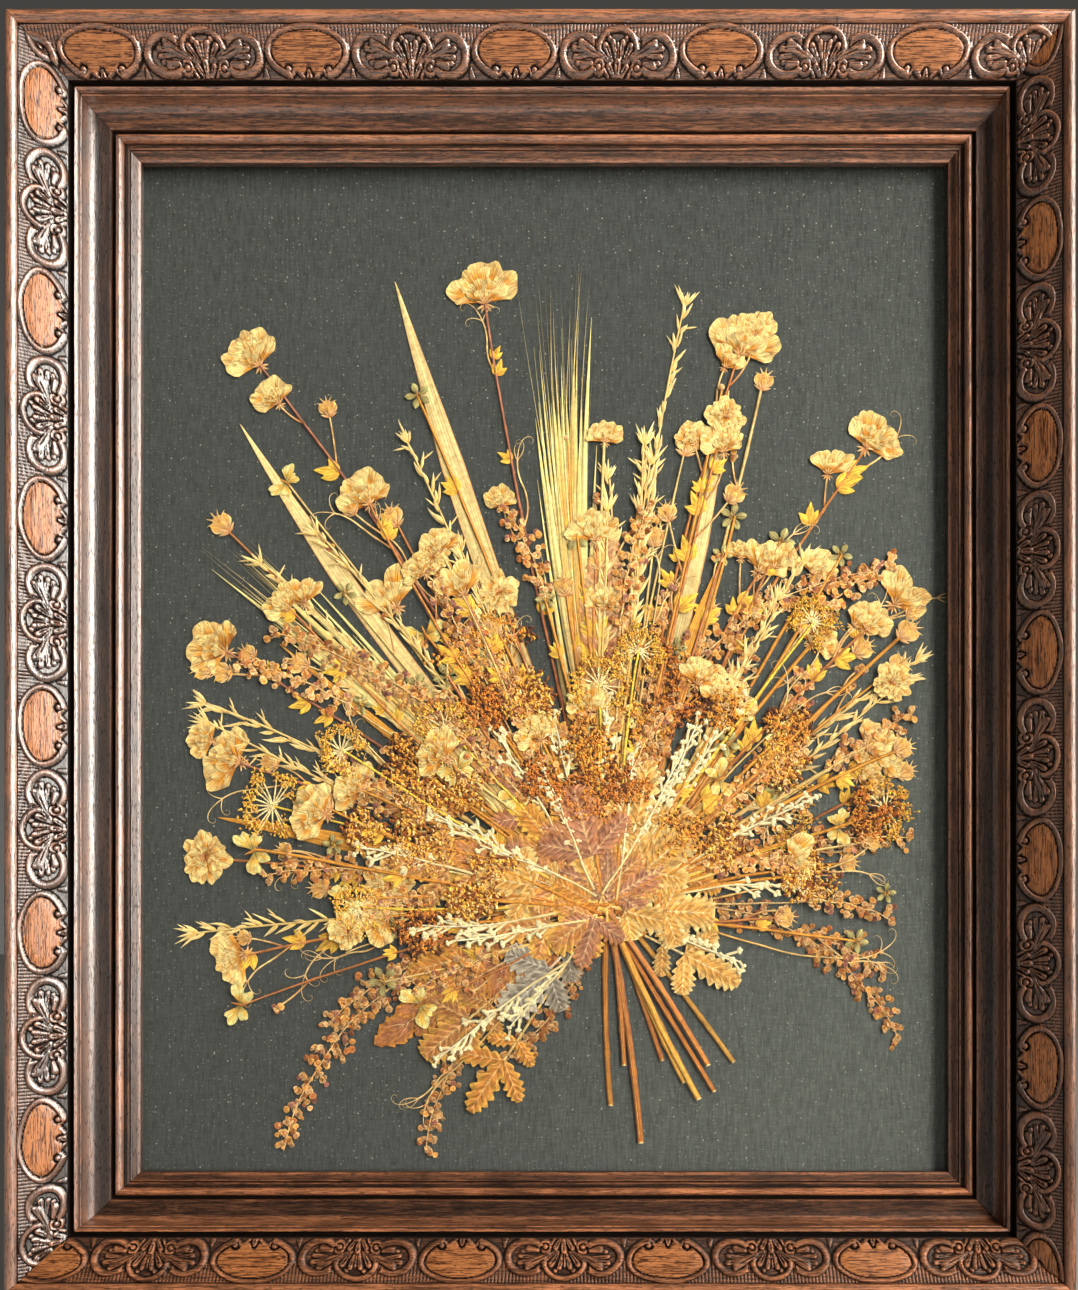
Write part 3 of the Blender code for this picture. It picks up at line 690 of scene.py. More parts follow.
@dataclass
class CarvedFrame:
    """The four oak rails. Each is a moulding mitred at both ends, with its carved band let in."""

    mitre_gap: float = 0.3 * MM
    sight_depth: float = 24 * MM  # from the wall to the rails' innermost front edge
    band_start: Point2 = (29.6, 24.4)  # u, z in mm of the carved band's highest surface
    band_end: Point2 = (48.8, 37.2)
    carving_depth: float = 3  # mm from the highest surface to the ground
    block_depth: float = 3.4  # mm to the carving's back
    rows: int = 54
    column_step: float = 0.5 * MM
    moulding_step: float = 3 * MM
    pattern: CarvedPattern = CarvedPattern()
    finishes: dict[RailSide, Material] = field(default_factory=dict)

    def __post_init__(self) -> None:
        """Reads the sight opening off the CAD rails."""
        self.half_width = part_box("rail_right")[0].x
        self.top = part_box("rail_top")[0].z
        self.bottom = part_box("rail_bottom")[1].z
        self.half_height = (self.top - self.bottom) / 2
        self.middle_z = (self.top + self.bottom) / 2

    @staticmethod
    def arc(centre: Point2, radii: Point2, start: float, end: float, steps: int, power: float = 1) -> list:
        """Points of an elliptical arc in the section's plane, in mm and degrees.

        Each is centre + radii * (cos, sin) raised to the power; one below 1 squares the arc.
        """
        angles = np.radians(np.linspace(start, end, steps + 1))
        u, z = (np.sign(side) * np.abs(side) ** power for side in (np.cos(angles), np.sin(angles)))
        return list(zip(centre[0] + radii[0] * u, centre[1] + radii[1] * z))

    def section(self) -> tuple[Array, Array, Array]:
        """The rail's section, going round once, without its carved band.

        u runs outwards from the sight edge and z forwards from it. Straight runs and arcs follow
        each other: slip, fillet, bead, quirk, cove, fillets, groove, seat, outer bead, side, back
        and rebate. Each run says how rubbed and highlit it is, and how much painted shade it has.

        Returns:
            Points (u, z) in mm, and for each its wear with painted highlight, and its painted shade.
        """
        seat = [(u, z - self.block_depth - 0.1) for u, z in (self.band_start, self.band_end)]
        runs = [
            ([(0, -4), (0, -0.6)], 0.1, 0.6),
            ([(0.15, -0.2), (0.5, 0)], 0.6, 0.1),
            ([(1.6, 0.75), (2.8, 1.75), (3.6, 2.6)], 0.34, 0.6),
            ([(4, 2.8)], 0.6, 0.1),
            ([(4.4, 2.2), (4.6, 2.3)], 0, 1),
            ([(4.9, 3), (5.7, 3.15)], 0.3, 0.3),
            ([(5.9, 2.95), (7.1, 3.15)], 0.05, 0.65),
            ([(7.35, 3)], 0, 1),
            (self.arc((9.4, 4.6), (1.9, 3), 176, 10, 12), 0.95, 0),
            ([(11.3, 3.7), (11.5, 3.5), (13, 3.5), (13.3, 3.8)], 0, 0.95),
            ([(13.4, 6.4)], 0.35, 0.2),
            (self.arc((13.6, 15.2), (10.8, 8.6), -88, -52, 6, 0.68), 0.03, 0.5),
            (self.arc((13.6, 15.2), (10.8, 8.6), -46, -4, 9, 0.68), 0.38, 0.14),
            ([(24.42, 16.8)], 0.2, 0.5),
            ([(24.5, 17.25), (24.9, 17.4)], 0.85, 0),
            ([(25, 17.5)], 0.1, 0.7),
            ([(25.05, 19.9)], 0.3, 0.1),
            ([(25.2, 20.5), (26.3, 21.35)], 0.75, 0),
            ([(26.6, 20.8)], 0.3, 0.5),
            ([(26.8, 17.2), (29.2, 17.2)], 0, 1),
            ([(29.5, seat[0][1]), (48.9, seat[1][1])], 0, 1),
            ([(49.05, 35.4)], 0, 1),
            (self.arc((52.2, 36.2), (3, 3), 172, -20, 16), 0.85, 0),
            ([(54.6, 33.8)], 0.1, 0.7),
            ([(54.2, 33.2)], 0.1, 0.7),
            ([(54.2, 31), (54.2, 20), (54.2, 0), (54.2, -20)], 0.2, 0),
            ([(54.2, -22.4), (52.8, -23.9)], 0.5, 0),
            ([(52.2, -24), (30, -24), (7.4, -24)], 0.35, 0),
            ([(7, -23.6), (7, -4)], 0.2, 0.3),
        ]
        points = np.array([point for run, _, _ in runs for point in run], float)
        shades = np.repeat([run[1:] for run in runs], [len(run[0]) for run in runs], axis=0)
        return points, shades[:, 0], shades[:, 1]

    def half_sight(self, side: RailSide) -> tuple[float, float]:
        """Half the sight opening along the rail, and across to it, in metres."""
        lying = (self.half_width, self.half_height)
        return lying if side.value.grain is Grain.ACROSS else (lying[1], lying[0])

    def world(self, side: RailSide, s: Array, u: Array, z: Array) -> Array:
        """Places of section points drawn along a rail.

        The bottom rail runs along X with u downwards and z towards -Y; the others are the same
        turned about the picture's middle.

        Args:
            side: the rail.
            s: metres along it.
            u: metres outwards from the sight edge.
            z: metres forwards of the sight edge.

        Returns:
            World points, one per line.
        """
        x, up = s, -(self.half_sight(side)[1] + u)
        c, d = math.cos(side.turn), math.sin(side.turn)
        world = np.stack([x * c - up * d, -(self.sight_depth + z), x * d + up * c + self.middle_z], -1)
        return world.reshape(-1, 3)

    def columns(self, side: RailSide, step: float) -> Array:
        """Even places from mitre to mitre, from -1 to 1, about a step apart."""
        count = int(2 * self.half_sight(side)[0] / step) + 1
        return np.linspace(-1, 1, count)

    def build_moulding(self, side: RailSide) -> Piece:
        """One rail's moulding: the section swept from mitre to mitre, with flat ends.

        A point at u stands at s = (half sight + u) t for t from -1 to 1, so the ends lie on the
        mitre planes. Two slow sines along the rail push it by a tenth of a millimetre or so.

        Args:
            side: the rail.

        Returns:
            The moulding.
        """
        section, worn, painted_shade = self.section()
        t = self.columns(side, self.moulding_step)
        u, z = (section[:, k, None] * MM + 0 * t for k in (0, 1))
        inner = (section[:, 1, None] > -3.9) & (section[:, 0, None] < 54)
        s = (self.half_sight(side)[0] - self.mitre_gap / 2 + u) * t
        z = z + np.where(inner, 0.09 * MM * (np.sin(s * 31 + u * 90) + np.sin(s * 74 - u * 150)), 0)
        rows, columns = u.shape
        seam = np.arange(columns - 1)
        last = (rows - 1) * columns + seam
        quads = np.vstack([grid_quads(rows, columns), np.column_stack([last, last + 1, seam + 1, seam])])
        around = np.arange(rows) * columns
        caps = np.vstack([around, (around + columns - 1)[::-1]])
        shading = {"worn": np.repeat(worn, columns), "painted_shade": np.repeat(painted_shade, columns), "bare": 0 * u.ravel()}
        name, points = f"moulding_{side.name.lower()}", self.world(side, s, u, z)
        return new_piece(name, points, [quads, caps], self.finishes[side], shading, 28)

    def build_carving(self, side: RailSide) -> Piece:
        """One rail's carved band: the pattern's heights over a slanted back, closed all round.

        A row stays at one u and a column at one t, as on the moulding. The height is measured
        forwards from the ground, and the back is one strip of long quads.

        Args:
            side: the rail.

        Returns:
            The carved band.
        """
        t = self.columns(side, self.column_step)
        rise = np.linspace(0, 1, self.rows)[:, None] + 0 * t
        u, top = ((low + (high - low) * rise) * MM for low, high in zip(self.band_start, self.band_end))
        s = (self.half_sight(side)[0] - self.mitre_gap / 2 + u) * t
        carved = self.pattern.relief(s / MM, rise * self.pattern.width, side.value.first_oval)
        z = top + (carved["height"] - self.carving_depth) * MM
        count, size, edges = len(t), s.size, [0, -1]
        back = self.world(side, s[edges], u[edges], top[edges] - self.block_depth * MM)
        points = np.vstack([self.world(side, s, u, z), back])
        first = np.arange(count - 1)
        low, high, last = size + first, size + count + first, size - count + first
        quads = [grid_quads(self.rows, count)]
        for one, other in ((low, first), (last, high), (high, low)):
            quads.append(np.column_stack([one, one + 1, other + 1, other]))
        column = np.arange(self.rows) * count
        near = np.concatenate([column, [size + count, size]])
        far = np.concatenate([column + count - 1, [size + 2 * count - 1, size + count - 1]])[::-1]
        # The carving's back gets full painted shade.
        behind = {"worn": 0, "painted_shade": 1, "bare": 0}
        shading = {key: np.append(carved[key], np.full(2 * count, value)) for key, value in behind.items()}
        name, faces = f"carving_{side.name.lower()}", [np.vstack(quads), np.vstack([near, far])]
        return new_piece(name, points, faces, self.finishes[side], shading, 60)

    def build(self) -> None:
        """Builds all four rails in place of the CAD ones."""
        for side in RailSide:
            self.finishes[side] = OakFinish(side.name.lower(), side.value).make()
            for piece in (self.build_moulding(side), self.build_carving(side)):
                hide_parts(f"rail_{side.name.lower()}")


# ---- glass and boards


@dataclass
class Glazing:
    """The glass pane, which throws no shadow, so that light gets through it as through real glass."""

    node: str = "glass_pane"

    def build(self) -> None:
        """Dresses the pane."""
        pane = dress(self.node, GlassFinish().make())
        pane.visible_shadow = False
        pane.visible_diffuse = False


@dataclass
class Backing:
    """The cloth, stretched over its board, and the boards behind it."""

    rows: int = 90
    columns: int = 72
    swell: float = 0.06 * MM  # how far the cloth wanders off a true plane

    def build_cloth(self) -> Piece:
        """The cloth: a front grid with slow waves, flat turned edges and a flat back."""
        low, high = (np.array(corner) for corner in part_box("cloth"))
        x, z = np.linspace(low[0], high[0], self.columns), np.linspace(low[2], high[2], self.rows)
        x, z = np.meshgrid(x, z)
        wave = np.sin(x * 24 + 3 * np.sin(z * 11)) + np.sin(z * 31 - 2 * np.sin(x * 17))
        inner = np.zeros_like(x)
        inner[1:-1, 1:-1] = 1
        front = np.stack([x, low[1] + self.swell * (1 + wave / 2) * inner, z], -1).reshape(-1, 3)
        size = len(front)
        index = np.arange(size).reshape(self.rows, self.columns)
        border = np.concatenate([index[0], index[1:, -1], index[-1, -2::-1], index[-2:0:-1, 0]])
        rim = front[border] * (1, 0, 1) + (0, high[1], 0)
        behind = size + np.arange(len(border))
        turn = np.column_stack([border, np.roll(border, -1), np.roll(behind, -1), behind])
        faces = [np.vstack([grid_quads(self.rows, self.columns)[:, ::-1], turn]), behind[None]]
        points, finish = np.vstack([front, rim]), ClothFinish().make()
        piece = new_piece("backing_cloth", points, faces, finish)
        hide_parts("cloth")
        return piece

    def build(self) -> None:
        """Builds the cloth and dresses the boards."""
        self.build_cloth()
        card = BoardFinish("mount_card", srgb("8f8467"), srgb("b5ab8d"), (300, 300, 300), 0.9)
        ply = BoardFinish("backing_ply", srgb("6b4a2c"), srgb("a87d50"), (260, 40, 9), 0.75)
        dress("mount_board", card.make())
        dress("backing_board", ply.make())


@dataclass
class Hardware:
    """The brads and the two screw eyes behind."""

    brads: int = 6

    def build(self) -> None:
        """Dresses each piece."""
        steel = MetalFinish("brad_steel", srgb("a5a39c"), srgb("5c5650")).make()
        brass = MetalFinish("brass", srgb("c9a25a"), srgb("7d5c2e")).make()
        for number in range(1, self.brads + 1):
            dress(f"brad_{number}", steel)
        for side in ("left", "right"):
            dress(f"screw_eye_{side}", brass)


# ---- dried plants


class Kind(Enum):
    """What a specimen is: the PlantMaker method that makes it, and its material slot."""

    CUT_STEM = ("cut_stem", "dry_stem")
    STALK = ("stalk", "dry_stem")
    TENDRIL = ("with_tendrils", "dry_stem")
    BLADE = ("blade", "dry_blade")
    EAR = ("ear", "dry_ear")
    BLOOM = ("bloom", "dry_petal")
    BLOSSOM = ("lone_blossom", "dry_petal")
    STAR = ("lone_star", "dry_petal")
    SPRAY = ("spray", "dry_seed")
    SPRIG = ("sprig", "dry_sprig")
    DUSTY = ("dusty", "dry_sprig")
    FLORETS = ("florets", "dry_floret")
    UMBEL = ("umbel", "dry_floret")
    LEAF = ("leaf", "dry_leaf")
    SMALL_LEAF = ("compound_leaf", "dry_leaf")

    @property
    def slot(self) -> str:
        """The material slot of such specimens."""
        return self.value[1]


@dataclass(frozen=True)
class Specimen:
    """One pressed piece, in mm and degrees from straight up, positive to the left.

    It starts at a distance from the gather point, on the line of its angle, and turns evenly by
    its bend along its length. lift is its back's height over the cloth where it isn't a CAD node.
    """

    name: str
    kind: Kind
    angle: float
    start: float
    length: float
    bend: float
    half_width: float
    lift: float | None = None


def numbered(name: str, kind: Kind, *rows: tuple[float, ...]) -> list[Specimen]:
    """Specimens of one kind, numbered from 1.

    Args:
        name: what their names begin with.
        kind: what they are.
        rows: the angle, start, length, bend and half width of each.

    Returns:
        The specimens.
    """
    return [Specimen(f"{name}_{number}", kind, *row) for number, row in enumerate(rows, 1)]


SPECIMENS = (
    *numbered(
        "grass_blade", Kind.BLADE, (41, 50, 288, -9, 5.6), (20, 46, 322, -3, 6.6), (-15, 46, 250, 4, 6.2),
        (75, 50, 172, 5, 4.6),
    ),
    *numbered(
        "cut_stem", Kind.CUT_STEM, (178, 12, 98, 7, 1.9), (-169, 12, 120, -6, 2.1), (-157, 12, 106, 6, 2),
        (-145, 12, 92, -5, 1.8),
    ),
    *numbered("barley_ear", Kind.EAR, (46, 50, 262, 3, 7), (7, 48, 318, -7, 7.5)),
    *numbered(
        "narrow_sprig", Kind.SPRIG, (60, 58, 192, 8, 9), (-4, 52, 286, -8, 8), (-49, 52, 168, -6, 8)
    ),
    *numbered(
        "bloom_stalk", Kind.BLOOM, (29, 50, 330, 9, 14), (13, 48, 318, -4, 15), (-10, 48, 292, -9, 15.5),
        (-24, 48, 268, -14, 14), (-40, 50, 205, -10, 14.5), (-58, 50, 142, -8, 13.5),
        (53, 52, 226, 9, 15), (66, 52, 190, 7, 14.5), (81, 50, 190, 5, 14.5), (94, 48, 176, 10, 14),
    ),
    *numbered(
        "seed_spray", Kind.SPRAY, (37, 70, 178, 38, 8.5), (-14, 78, 184, -72, 8), (-68, 52, 122, -26, 9),
        (-88, 40, 150, -66, 9), (104, 62, 178, 62, 9), (127, 46, 128, 44, 8), (157, 26, 92, -34, 7),
    ),
    *numbered(
        "floret_head", Kind.FLORETS, (26, 72, 112, 0, 25), (55, 50, 84, 0, 21), (-19, 60, 92, 0, 22)
    ),
    *numbered("umbel", Kind.UMBEL, (72, 130, 84, 8, 20), (-59, 56, 74, 0, 26)),
    *numbered(
        "pinnate_leaf", Kind.LEAF, (117, 24, 116, 8, 19), (1, 112, 92, -4, 15), (-37, 26, 76, 0, 18),
        (68, 14, 72, 4, 17),
    ),
    Specimen("silver_leaf", Kind.SMALL_LEAF, 137, 26, 56, 0, 15),
    Specimen("collar_leaf", Kind.SMALL_LEAF, 16, 6, 66, 0, 17),
    *numbered(
        "blossom", Kind.BLOSSOM, (35, 196, 30, 0, 14.5), (-30, 120, 30, 0, 14.5), (84, 106, 30, 0, 14.5)
    ),
)


@dataclass(frozen=True)
class PlantFinish:
    """A dried plant surface: the piece's own tints, streaked along its fibres and mottled brown."""

    name: str
    streaks: float  # per mm across the fibres
    run: float  # per mm along them
    contrast: float
    mottle: float
    roughness: float
    relief: float = 0.10 * MM
    mottle_tint: Colour = (0.62, 0.42, 0.26)

    def make(self) -> Material:
        """The material; it reads the attributes tint, a colour, and flow, mm across and along."""
        maker = MaterialMaker(self.name, Roughness=self.roughness, Specular_IOR_Level=0.28, Sheen_Weight=0.12)
        place = {"Vector": maker.attribute("flow", "Vector"), "Scale": (self.streaks, self.run, 1)}
        streak = maker.noise(maker.node("ShaderNodeMapping", place).outputs[0], 1, 3, 0.6, 0.3)
        crumple = maker.noise(maker.place(), 420, 2, 0.6)
        spots = maker.span(maker.noise(maker.place(), 190, 2, 0.6), 0.52, 0.70, 0, self.mottle)
        light = maker.span(streak, 0.25, 0.75, 1 - self.contrast, 1 + 0.8 * self.contrast)
        light = maker.times(light, maker.span(crumple, 0.3, 0.7, 0.86, 1.12))
        grey = maker.node("ShaderNodeCombineColor", {0: light, 1: light, 2: light}).outputs[0]
        colour = maker.mix(1, maker.attribute("tint", "Color"), grey, "MULTIPLY")
        brown = maker.mix(1, colour, self.mottle_tint, "MULTIPLY")
        maker.feed("Base Color", maker.mix(spots, colour, brown))
        maker.bump(maker.plus(streak, maker.times(crumple, 0.7)), 0.6, self.relief)
        return maker.material


def sheet_faces(rows: int, columns: int) -> tuple[Array, Array]:
    """Faces that close a sheet: its front grid, a back of one quad a row, and the two end rows.

    Args:
        rows: rows of points.
        columns: points in a row.

    Returns:
        Quads, and the two end faces of as many corners as there are columns.
    """
    left = np.arange(rows - 1) * columns
    right = left + columns - 1
    back = np.column_stack([left, left + columns, right + columns, right])
    end = np.arange(columns)
    return np.vstack([grid_quads(rows, columns), back]), np.vstack([end[::-1], (rows - 1) * columns + end])


def unit(headings: Many) -> Array:
    """Directions in the picture's plane for headings in radians, from up, positive to the left."""
    return np.stack([-np.sin(headings), np.cos(headings)], -1)


def rightwards(headings: Many) -> Array:
    """Directions a right angle clockwise from the headings."""
    return np.stack([np.cos(headings), np.sin(headings)], -1)


def arched(across: Array) -> Array:
    """A sheet's section: an arc from 1 in the middle to 0.2 at its sides, where across is -1 and 1."""
    return np.sqrt(1 - 0.96 * across**2)


def bells(t: Array, places: Array) -> Array:
    """The sum of narrow bell curves along t, one at each of the places."""
    return np.exp(-(((t[:, None] - places) / 0.012) ** 2)).sum(1)


def outline(kind: str, rows: int) -> Array:
    """Half width along a strip, from 0 to 1, by a plain rule for each kind.

    A stem keeps its width. An awn narrows evenly, and a spear only from 0.38 on. A leaf is a sine
    arch drawn towards its root, a drop one drawn towards its tip, and a disc is a half circle. A
    toothed leaf is an arch times a row of four steps that fall off towards the tip.

    Args:
        kind: the rule's name.
        rows: how many rows of points.

    Returns:
        A share of the greatest half width for each row.
    """
    t = np.linspace(0, 1, rows)
    rules = {
        "stem": np.ones(rows),
        "awn": 1 - 0.93 * t,
        "spear": np.minimum(1, 0.45 + 2.2 * t) * np.clip((1 - t) / 0.62, 0, 1) ** 0.85,
        "leaf": np.sin(np.pi * t**0.75) ** 0.9,
        "drop": np.sin(np.pi * t**1.5) ** 0.8,
        "disc": np.sqrt(np.clip(1 - (2 * t - 1) ** 2, 0, 1)),
        "toothed": np.sin(np.pi * t**0.8) ** 0.7 * (0.58 + 0.42 * (1 - (4.5 * t) % 1)),
    }
    return np.maximum(rules[kind], 0.04)


class Bunch:
    """Gathers thin closed sheets, in mm over the cloth, into one piece."""

    petal_grid = (7, 25)  # rows and columns of points
    shaded = (2.9, 120, 190)  # mm over the cloth, and from the gather point, that tints are browned as painted shade
    shade = (0.68, 0.77, 0.82)  # share of red, green and blue that is lost there

    def __init__(self, seed: int) -> None:
        """Starts empty, with its own fixed sequence of random numbers."""
        self.rng = np.random.default_rng(seed)
        self.points: list[Array] = []
        self.tints: list[Array] = []
        self.flows: list[Array] = []
        self.faces: dict[int, list[Array]] = {}
        self.count = 0

    def add(
        self, place: Array, height: Array, tint: Array, across: Array, along: Array, seeds: Array
    ) -> None:
        """Adds sheets, one for each copy of a grid of rows and columns.

        Args:
            place: copies, rows and columns of places (x, z) in mm.
            height: mm over the cloth.
            tint: a colour for each point.
            across: mm across the fibres.
            along: mm along them.
            seeds: a number of each sheet's own.
        """
        copies, rows, columns = shape = place.shape[:3]
        first = self.count + np.arange(copies)[:, None, None] * rows * columns
        for group in sheet_faces(rows, columns):
            self.faces.setdefault(group.shape[1], []).append((first + group).reshape(-1, group.shape[1]))
        flow = [np.broadcast_to(values, shape) for values in (across, along, seeds[:, None, None])]
        front = np.concatenate([place, np.broadcast_to(height, shape)[..., None]], -1)
        self.points.append(front.reshape(-1, 3))
        self.tints.append(np.broadcast_to(tint, front.shape).reshape(-1, 3))
        self.flows.append(np.stack(flow, -1).reshape(-1, 3))
        self.count += copies * rows * columns

    def jitter(self, count: int, spread: float) -> Array:
        """Random numbers from -spread to spread."""
        return self.rng.uniform(-spread, spread, count)

    def varied(self, tint: Array, count: int, spread: float) -> Array:
        """The tint once for each copy, lighter or darker by chance."""
        return np.clip(tint * (1 + self.jitter(count, spread)[:, None, None, None]), 0, 1)

    def colours(
        self, grid: Grid, count: int, root: Colour, tip: Colour, edge: Colour | None = None,
        vary: float = 0.12, power: float = 2.5,
    ) -> Array:
        """Tints for strips: root to tip along them, the edge colour near their sides.

        Args:
            grid: rows and columns of points.
            count: how many strips.
            root: the colour at each strip's start.
            tip: the colour at its end.
            edge: the colour of its sides, if they differ.
            vary: how much lighter or darker one strip is than another.
            power: how closely the edge colour keeps to the sides.

        Returns:
            A colour for each point.
        """
        along = np.linspace(0, 1, grid[0])[:, None, None]
        tint = np.array(root) * (1 - along) + np.array(tip) * along
        if edge is not None:
            side = np.abs(np.linspace(-1, 1, grid[1]))[:, None] ** power
            tint = tint * (1 - side) + np.array(edge) * side
        return self.varied(tint, count, vary)

    @staticmethod
    def curves(
        roots: Array, headings: Array, lengths: Array, bends: Array, curls: Many, t: Array
    ) -> tuple[Array, Array]:
        """Points and headings along curves.

        The heading at t is the first heading + bend t + curl t^4, and the line is the running sum of
        those directions.

        Args:
            roots: where they start, in mm.
            headings: their first headings in radians.
            lengths: mm.
            bends: radians turned evenly.
            curls: radians turned towards the tip.
            t: even places from 0 to 1.

        Returns:
            The points and the headings.
        """
        turning = headings + bends * t + curls * t**4
        steps = unit(turning)
        moves = (steps[:, 1:] + steps[:, :-1]) / 2 * (lengths / (len(t) - 1))[..., None]
        line = np.concatenate([np.zeros((len(roots), 1, 2)), np.cumsum(moves, axis=1)], axis=1)
        return line + roots[:, None, :], turning

    def strips(
        self, roots: Array, headings: Many, lengths: Many, halves: Many, bases: Many, crowns: Many,
        kind: str = "leaf", bends: Many = 0, curls: Many = 0, rises: Many = 0, grid: Grid = (7, 5),
        **paint: object,
    ) -> tuple[Array, Array]:
        """Adds strips that follow their own curves.

        A strip's height is base + rise t + crown times an arc across it, for t from 0 to 1.

        Args:
            roots: where they start, in mm: one place for all, or one for each.
            headings: their first headings in radians.
            lengths: mm.
            halves: the greatest half widths, in mm.
            bases: heights of their backs at the root, in mm.
            crowns: how much the middle stands over the sides, in mm.
            kind: the rule for the half width, see outline.
            bends: radians turned evenly.
            curls: radians turned towards the tip.
            rises: mm that the tip stands over the root.
            grid: rows and columns of points.
            paint: what colours() takes.

        Returns:
            The tips' places and headings.
        """
        roots = np.atleast_2d(roots)
        count = max(len(roots), np.size(headings))
        roots = np.broadcast_to(roots, (count, 2))
        headings, lengths, halves, bases, crowns, bends, curls, rises = (
            np.broadcast_to(values, (count,))[:, None]
            for values in (headings, lengths, halves, bases, crowns, bends, curls, rises)
        )
        t, across = (np.linspace(low, 1, points) for low, points in zip((0, -1), grid))
        line, turning = self.curves(roots, headings, lengths, bends, curls, t)
        swell = outline(kind, len(t))
        width = (halves * swell)[..., None] * across
        place = line[:, :, None] + width[..., None] * rightwards(turning)[:, :, None]
        height = (bases + rises * t)[..., None] + (crowns * swell**0.5)[..., None] * arched(across)
        seeds = self.rng.uniform(0, 90, count)
        self.add(place, height, self.colours(grid, count, **paint), width, (lengths * t)[..., None], seeds)
        return line[:, -1], turning[:, -1]

    def leaflets(
        self, roots: Array, headings: Array, lengths: Array, halves: Array, bases: Array, bends: Array,
        hues: tuple[Colour, Colour, Colour], veins: int, lobes: float,
    ) -> None:
        """Adds leaf blades with a light midrib, side veins that lean forwards and a toothed rim.

        A row leaves the midrib at t, on both sides, and leans forwards. Its half width is half times
        sin(pi t^0.72)^0.7, cut back by the lobes times how far the row is from its vein, so that each
        side vein ends in a tooth. The tint is light on the midrib and the veins. The height is an
        arch that each vein raises.

        Args:
            roots: where they start, in mm.
            headings: their first headings in radians.
            lengths: mm.
            halves: the greatest half widths, in mm.
            bases: heights of their backs, in mm.
            bends: radians turned evenly.
            hues: colours of the blade, its rim and its veins.
            veins: side veins on either side.
            lobes: depth of the notches, from 0 to 1.
        """
        count, per, columns = len(roots), 6, 11
        rows = veins * per + 1
        t, c = np.linspace(0, 1, rows), np.linspace(-1, 1, columns)
        c = np.sign(c) * np.abs(c) ** 1.4
        headings, lengths, halves, bends = (values[:, None] for values in (headings, lengths, halves, bends))
        line, turning = self.curves(roots, headings, lengths, bends, 0, t)
        gap = np.abs((np.arange(rows) / per) % 1 - 0.5) * 2
        envelope = halves * np.maximum(np.sin(np.pi * t**0.72) ** 0.7, 0.03)
        width = (envelope * (1 - lobes * gap - 0.07 * (np.arange(rows) % 2)))[..., None] * c
        lean = (envelope * (0.55 + 0.5 * t))[..., None] * np.abs(c)
        place = line[:, :, None] + width[..., None] * rightwards(turning)[:, :, None]
        place = place + lean[..., None] * unit(turning)[:, :, None]
        vein = np.exp(-((gap / 0.34) ** 2))[:, None] * (1 - 0.45 * np.abs(c))
        midrib = np.exp(-((c / 0.07) ** 2))
        height = bases[:, None, None] + 0.42 * arched(c) + 0.14 * vein + 0.12 * midrib
        body, rim, light = (np.array(hue) for hue in hues)
        side = (np.abs(c) ** 2.2)[:, None]
        tint = (body * (1 - side) + rim * side) * (1 - 0.34 * gap[:, None, None])
        shown = np.clip(0.20 * vein + 0.55 * midrib, 0, 1)[..., None]
        tint = self.varied(tint * (1 - shown) + light * shown, count, 0.16)
        self.add(place, height, tint, (lengths * t)[..., None] * 0.8, width, self.rng.uniform(0, 90, count))

    def petals(
        self, foot: Array, headings: Array, radii: Array, spreads: Array, bases: Array, rise: float,
        ruffle: float, root: Colour, middle: Colour, edge: Colour,
    ) -> None:
        """Adds fan-shaped, ruffled petals.

        A point at r and c stands at the angle spread c / 2 from the heading, at r times the petal's
        reach there. The reach falls off with c cubed at the corners and waves along the rim. The
        height climbs with r and is pleated by two sines of c that grow with r.

        Args:
            foot: where they all start, in mm.
            headings: the way each points, in radians.
            radii: mm from start to rim.
            spreads: the fans' whole angles, in radians.
            bases: heights of the starts, in mm.
            rise: mm that the rim stands over the start.
            ruffle: how deep the pleats are at the rim, in mm.
            root: the colour at the start.
            middle: the colour half way.
            edge: the colour at the rim.
        """
        count, (rows, columns) = len(headings), self.petal_grid
        r, c = np.linspace(0.03, 1, rows)[:, None], np.linspace(-1, 1, columns)
        one, two, three = (self.rng.uniform(0, 6.3, count)[:, None, None] for _ in range(3))
        headings, radii, spreads, bases = (
            np.broadcast_to(values, (count,))[:, None, None] for values in (headings, radii, spreads, bases)
        )
        pleats = 4.5 * spreads * self.rng.uniform(0.8, 1.3, count)[:, None, None]
        wave = np.sin(pleats * c + one) + 0.6 * np.sin(1.7 * pleats * c + two)
        reach = 1 - 0.34 * np.abs(c) ** 3 + 0.045 * wave + 0.07 * np.sin(3 * c + three)
        away = radii * r * reach
        place = foot + away[..., None] * unit(headings + spreads / 2 * c * (0.55 + 0.45 * r**0.5))
        height = bases + rise * r + ruffle * r * (wave + 1.6) * 0.5 + 0.12 * arched(c)
        inner, outer = (np.clip(values, 0, 1)[..., None] for values in (r * 1.8, r * 3.2 - 2.2))
        # The pleats' valleys are darkened towards the root colour: painted shade in the folds.
        fold_shade = 0.85 * np.clip(0.34 - 0.66 * wave, 0, 1)[..., None] ** 1.2 * (1.05 - 0.50 * outer)
        tint = np.array(root) * (1 - inner) + np.array(middle) * inner
        tint = tint * (1 - outer) + np.array(edge) * outer
        tint = self.varied(tint * (1 - fold_shade) + np.array(root) * fold_shade, count, 0.08)
        self.add(place, height, tint, c * radii * 0.8, away * 0.6, self.rng.uniform(0, 90, count))

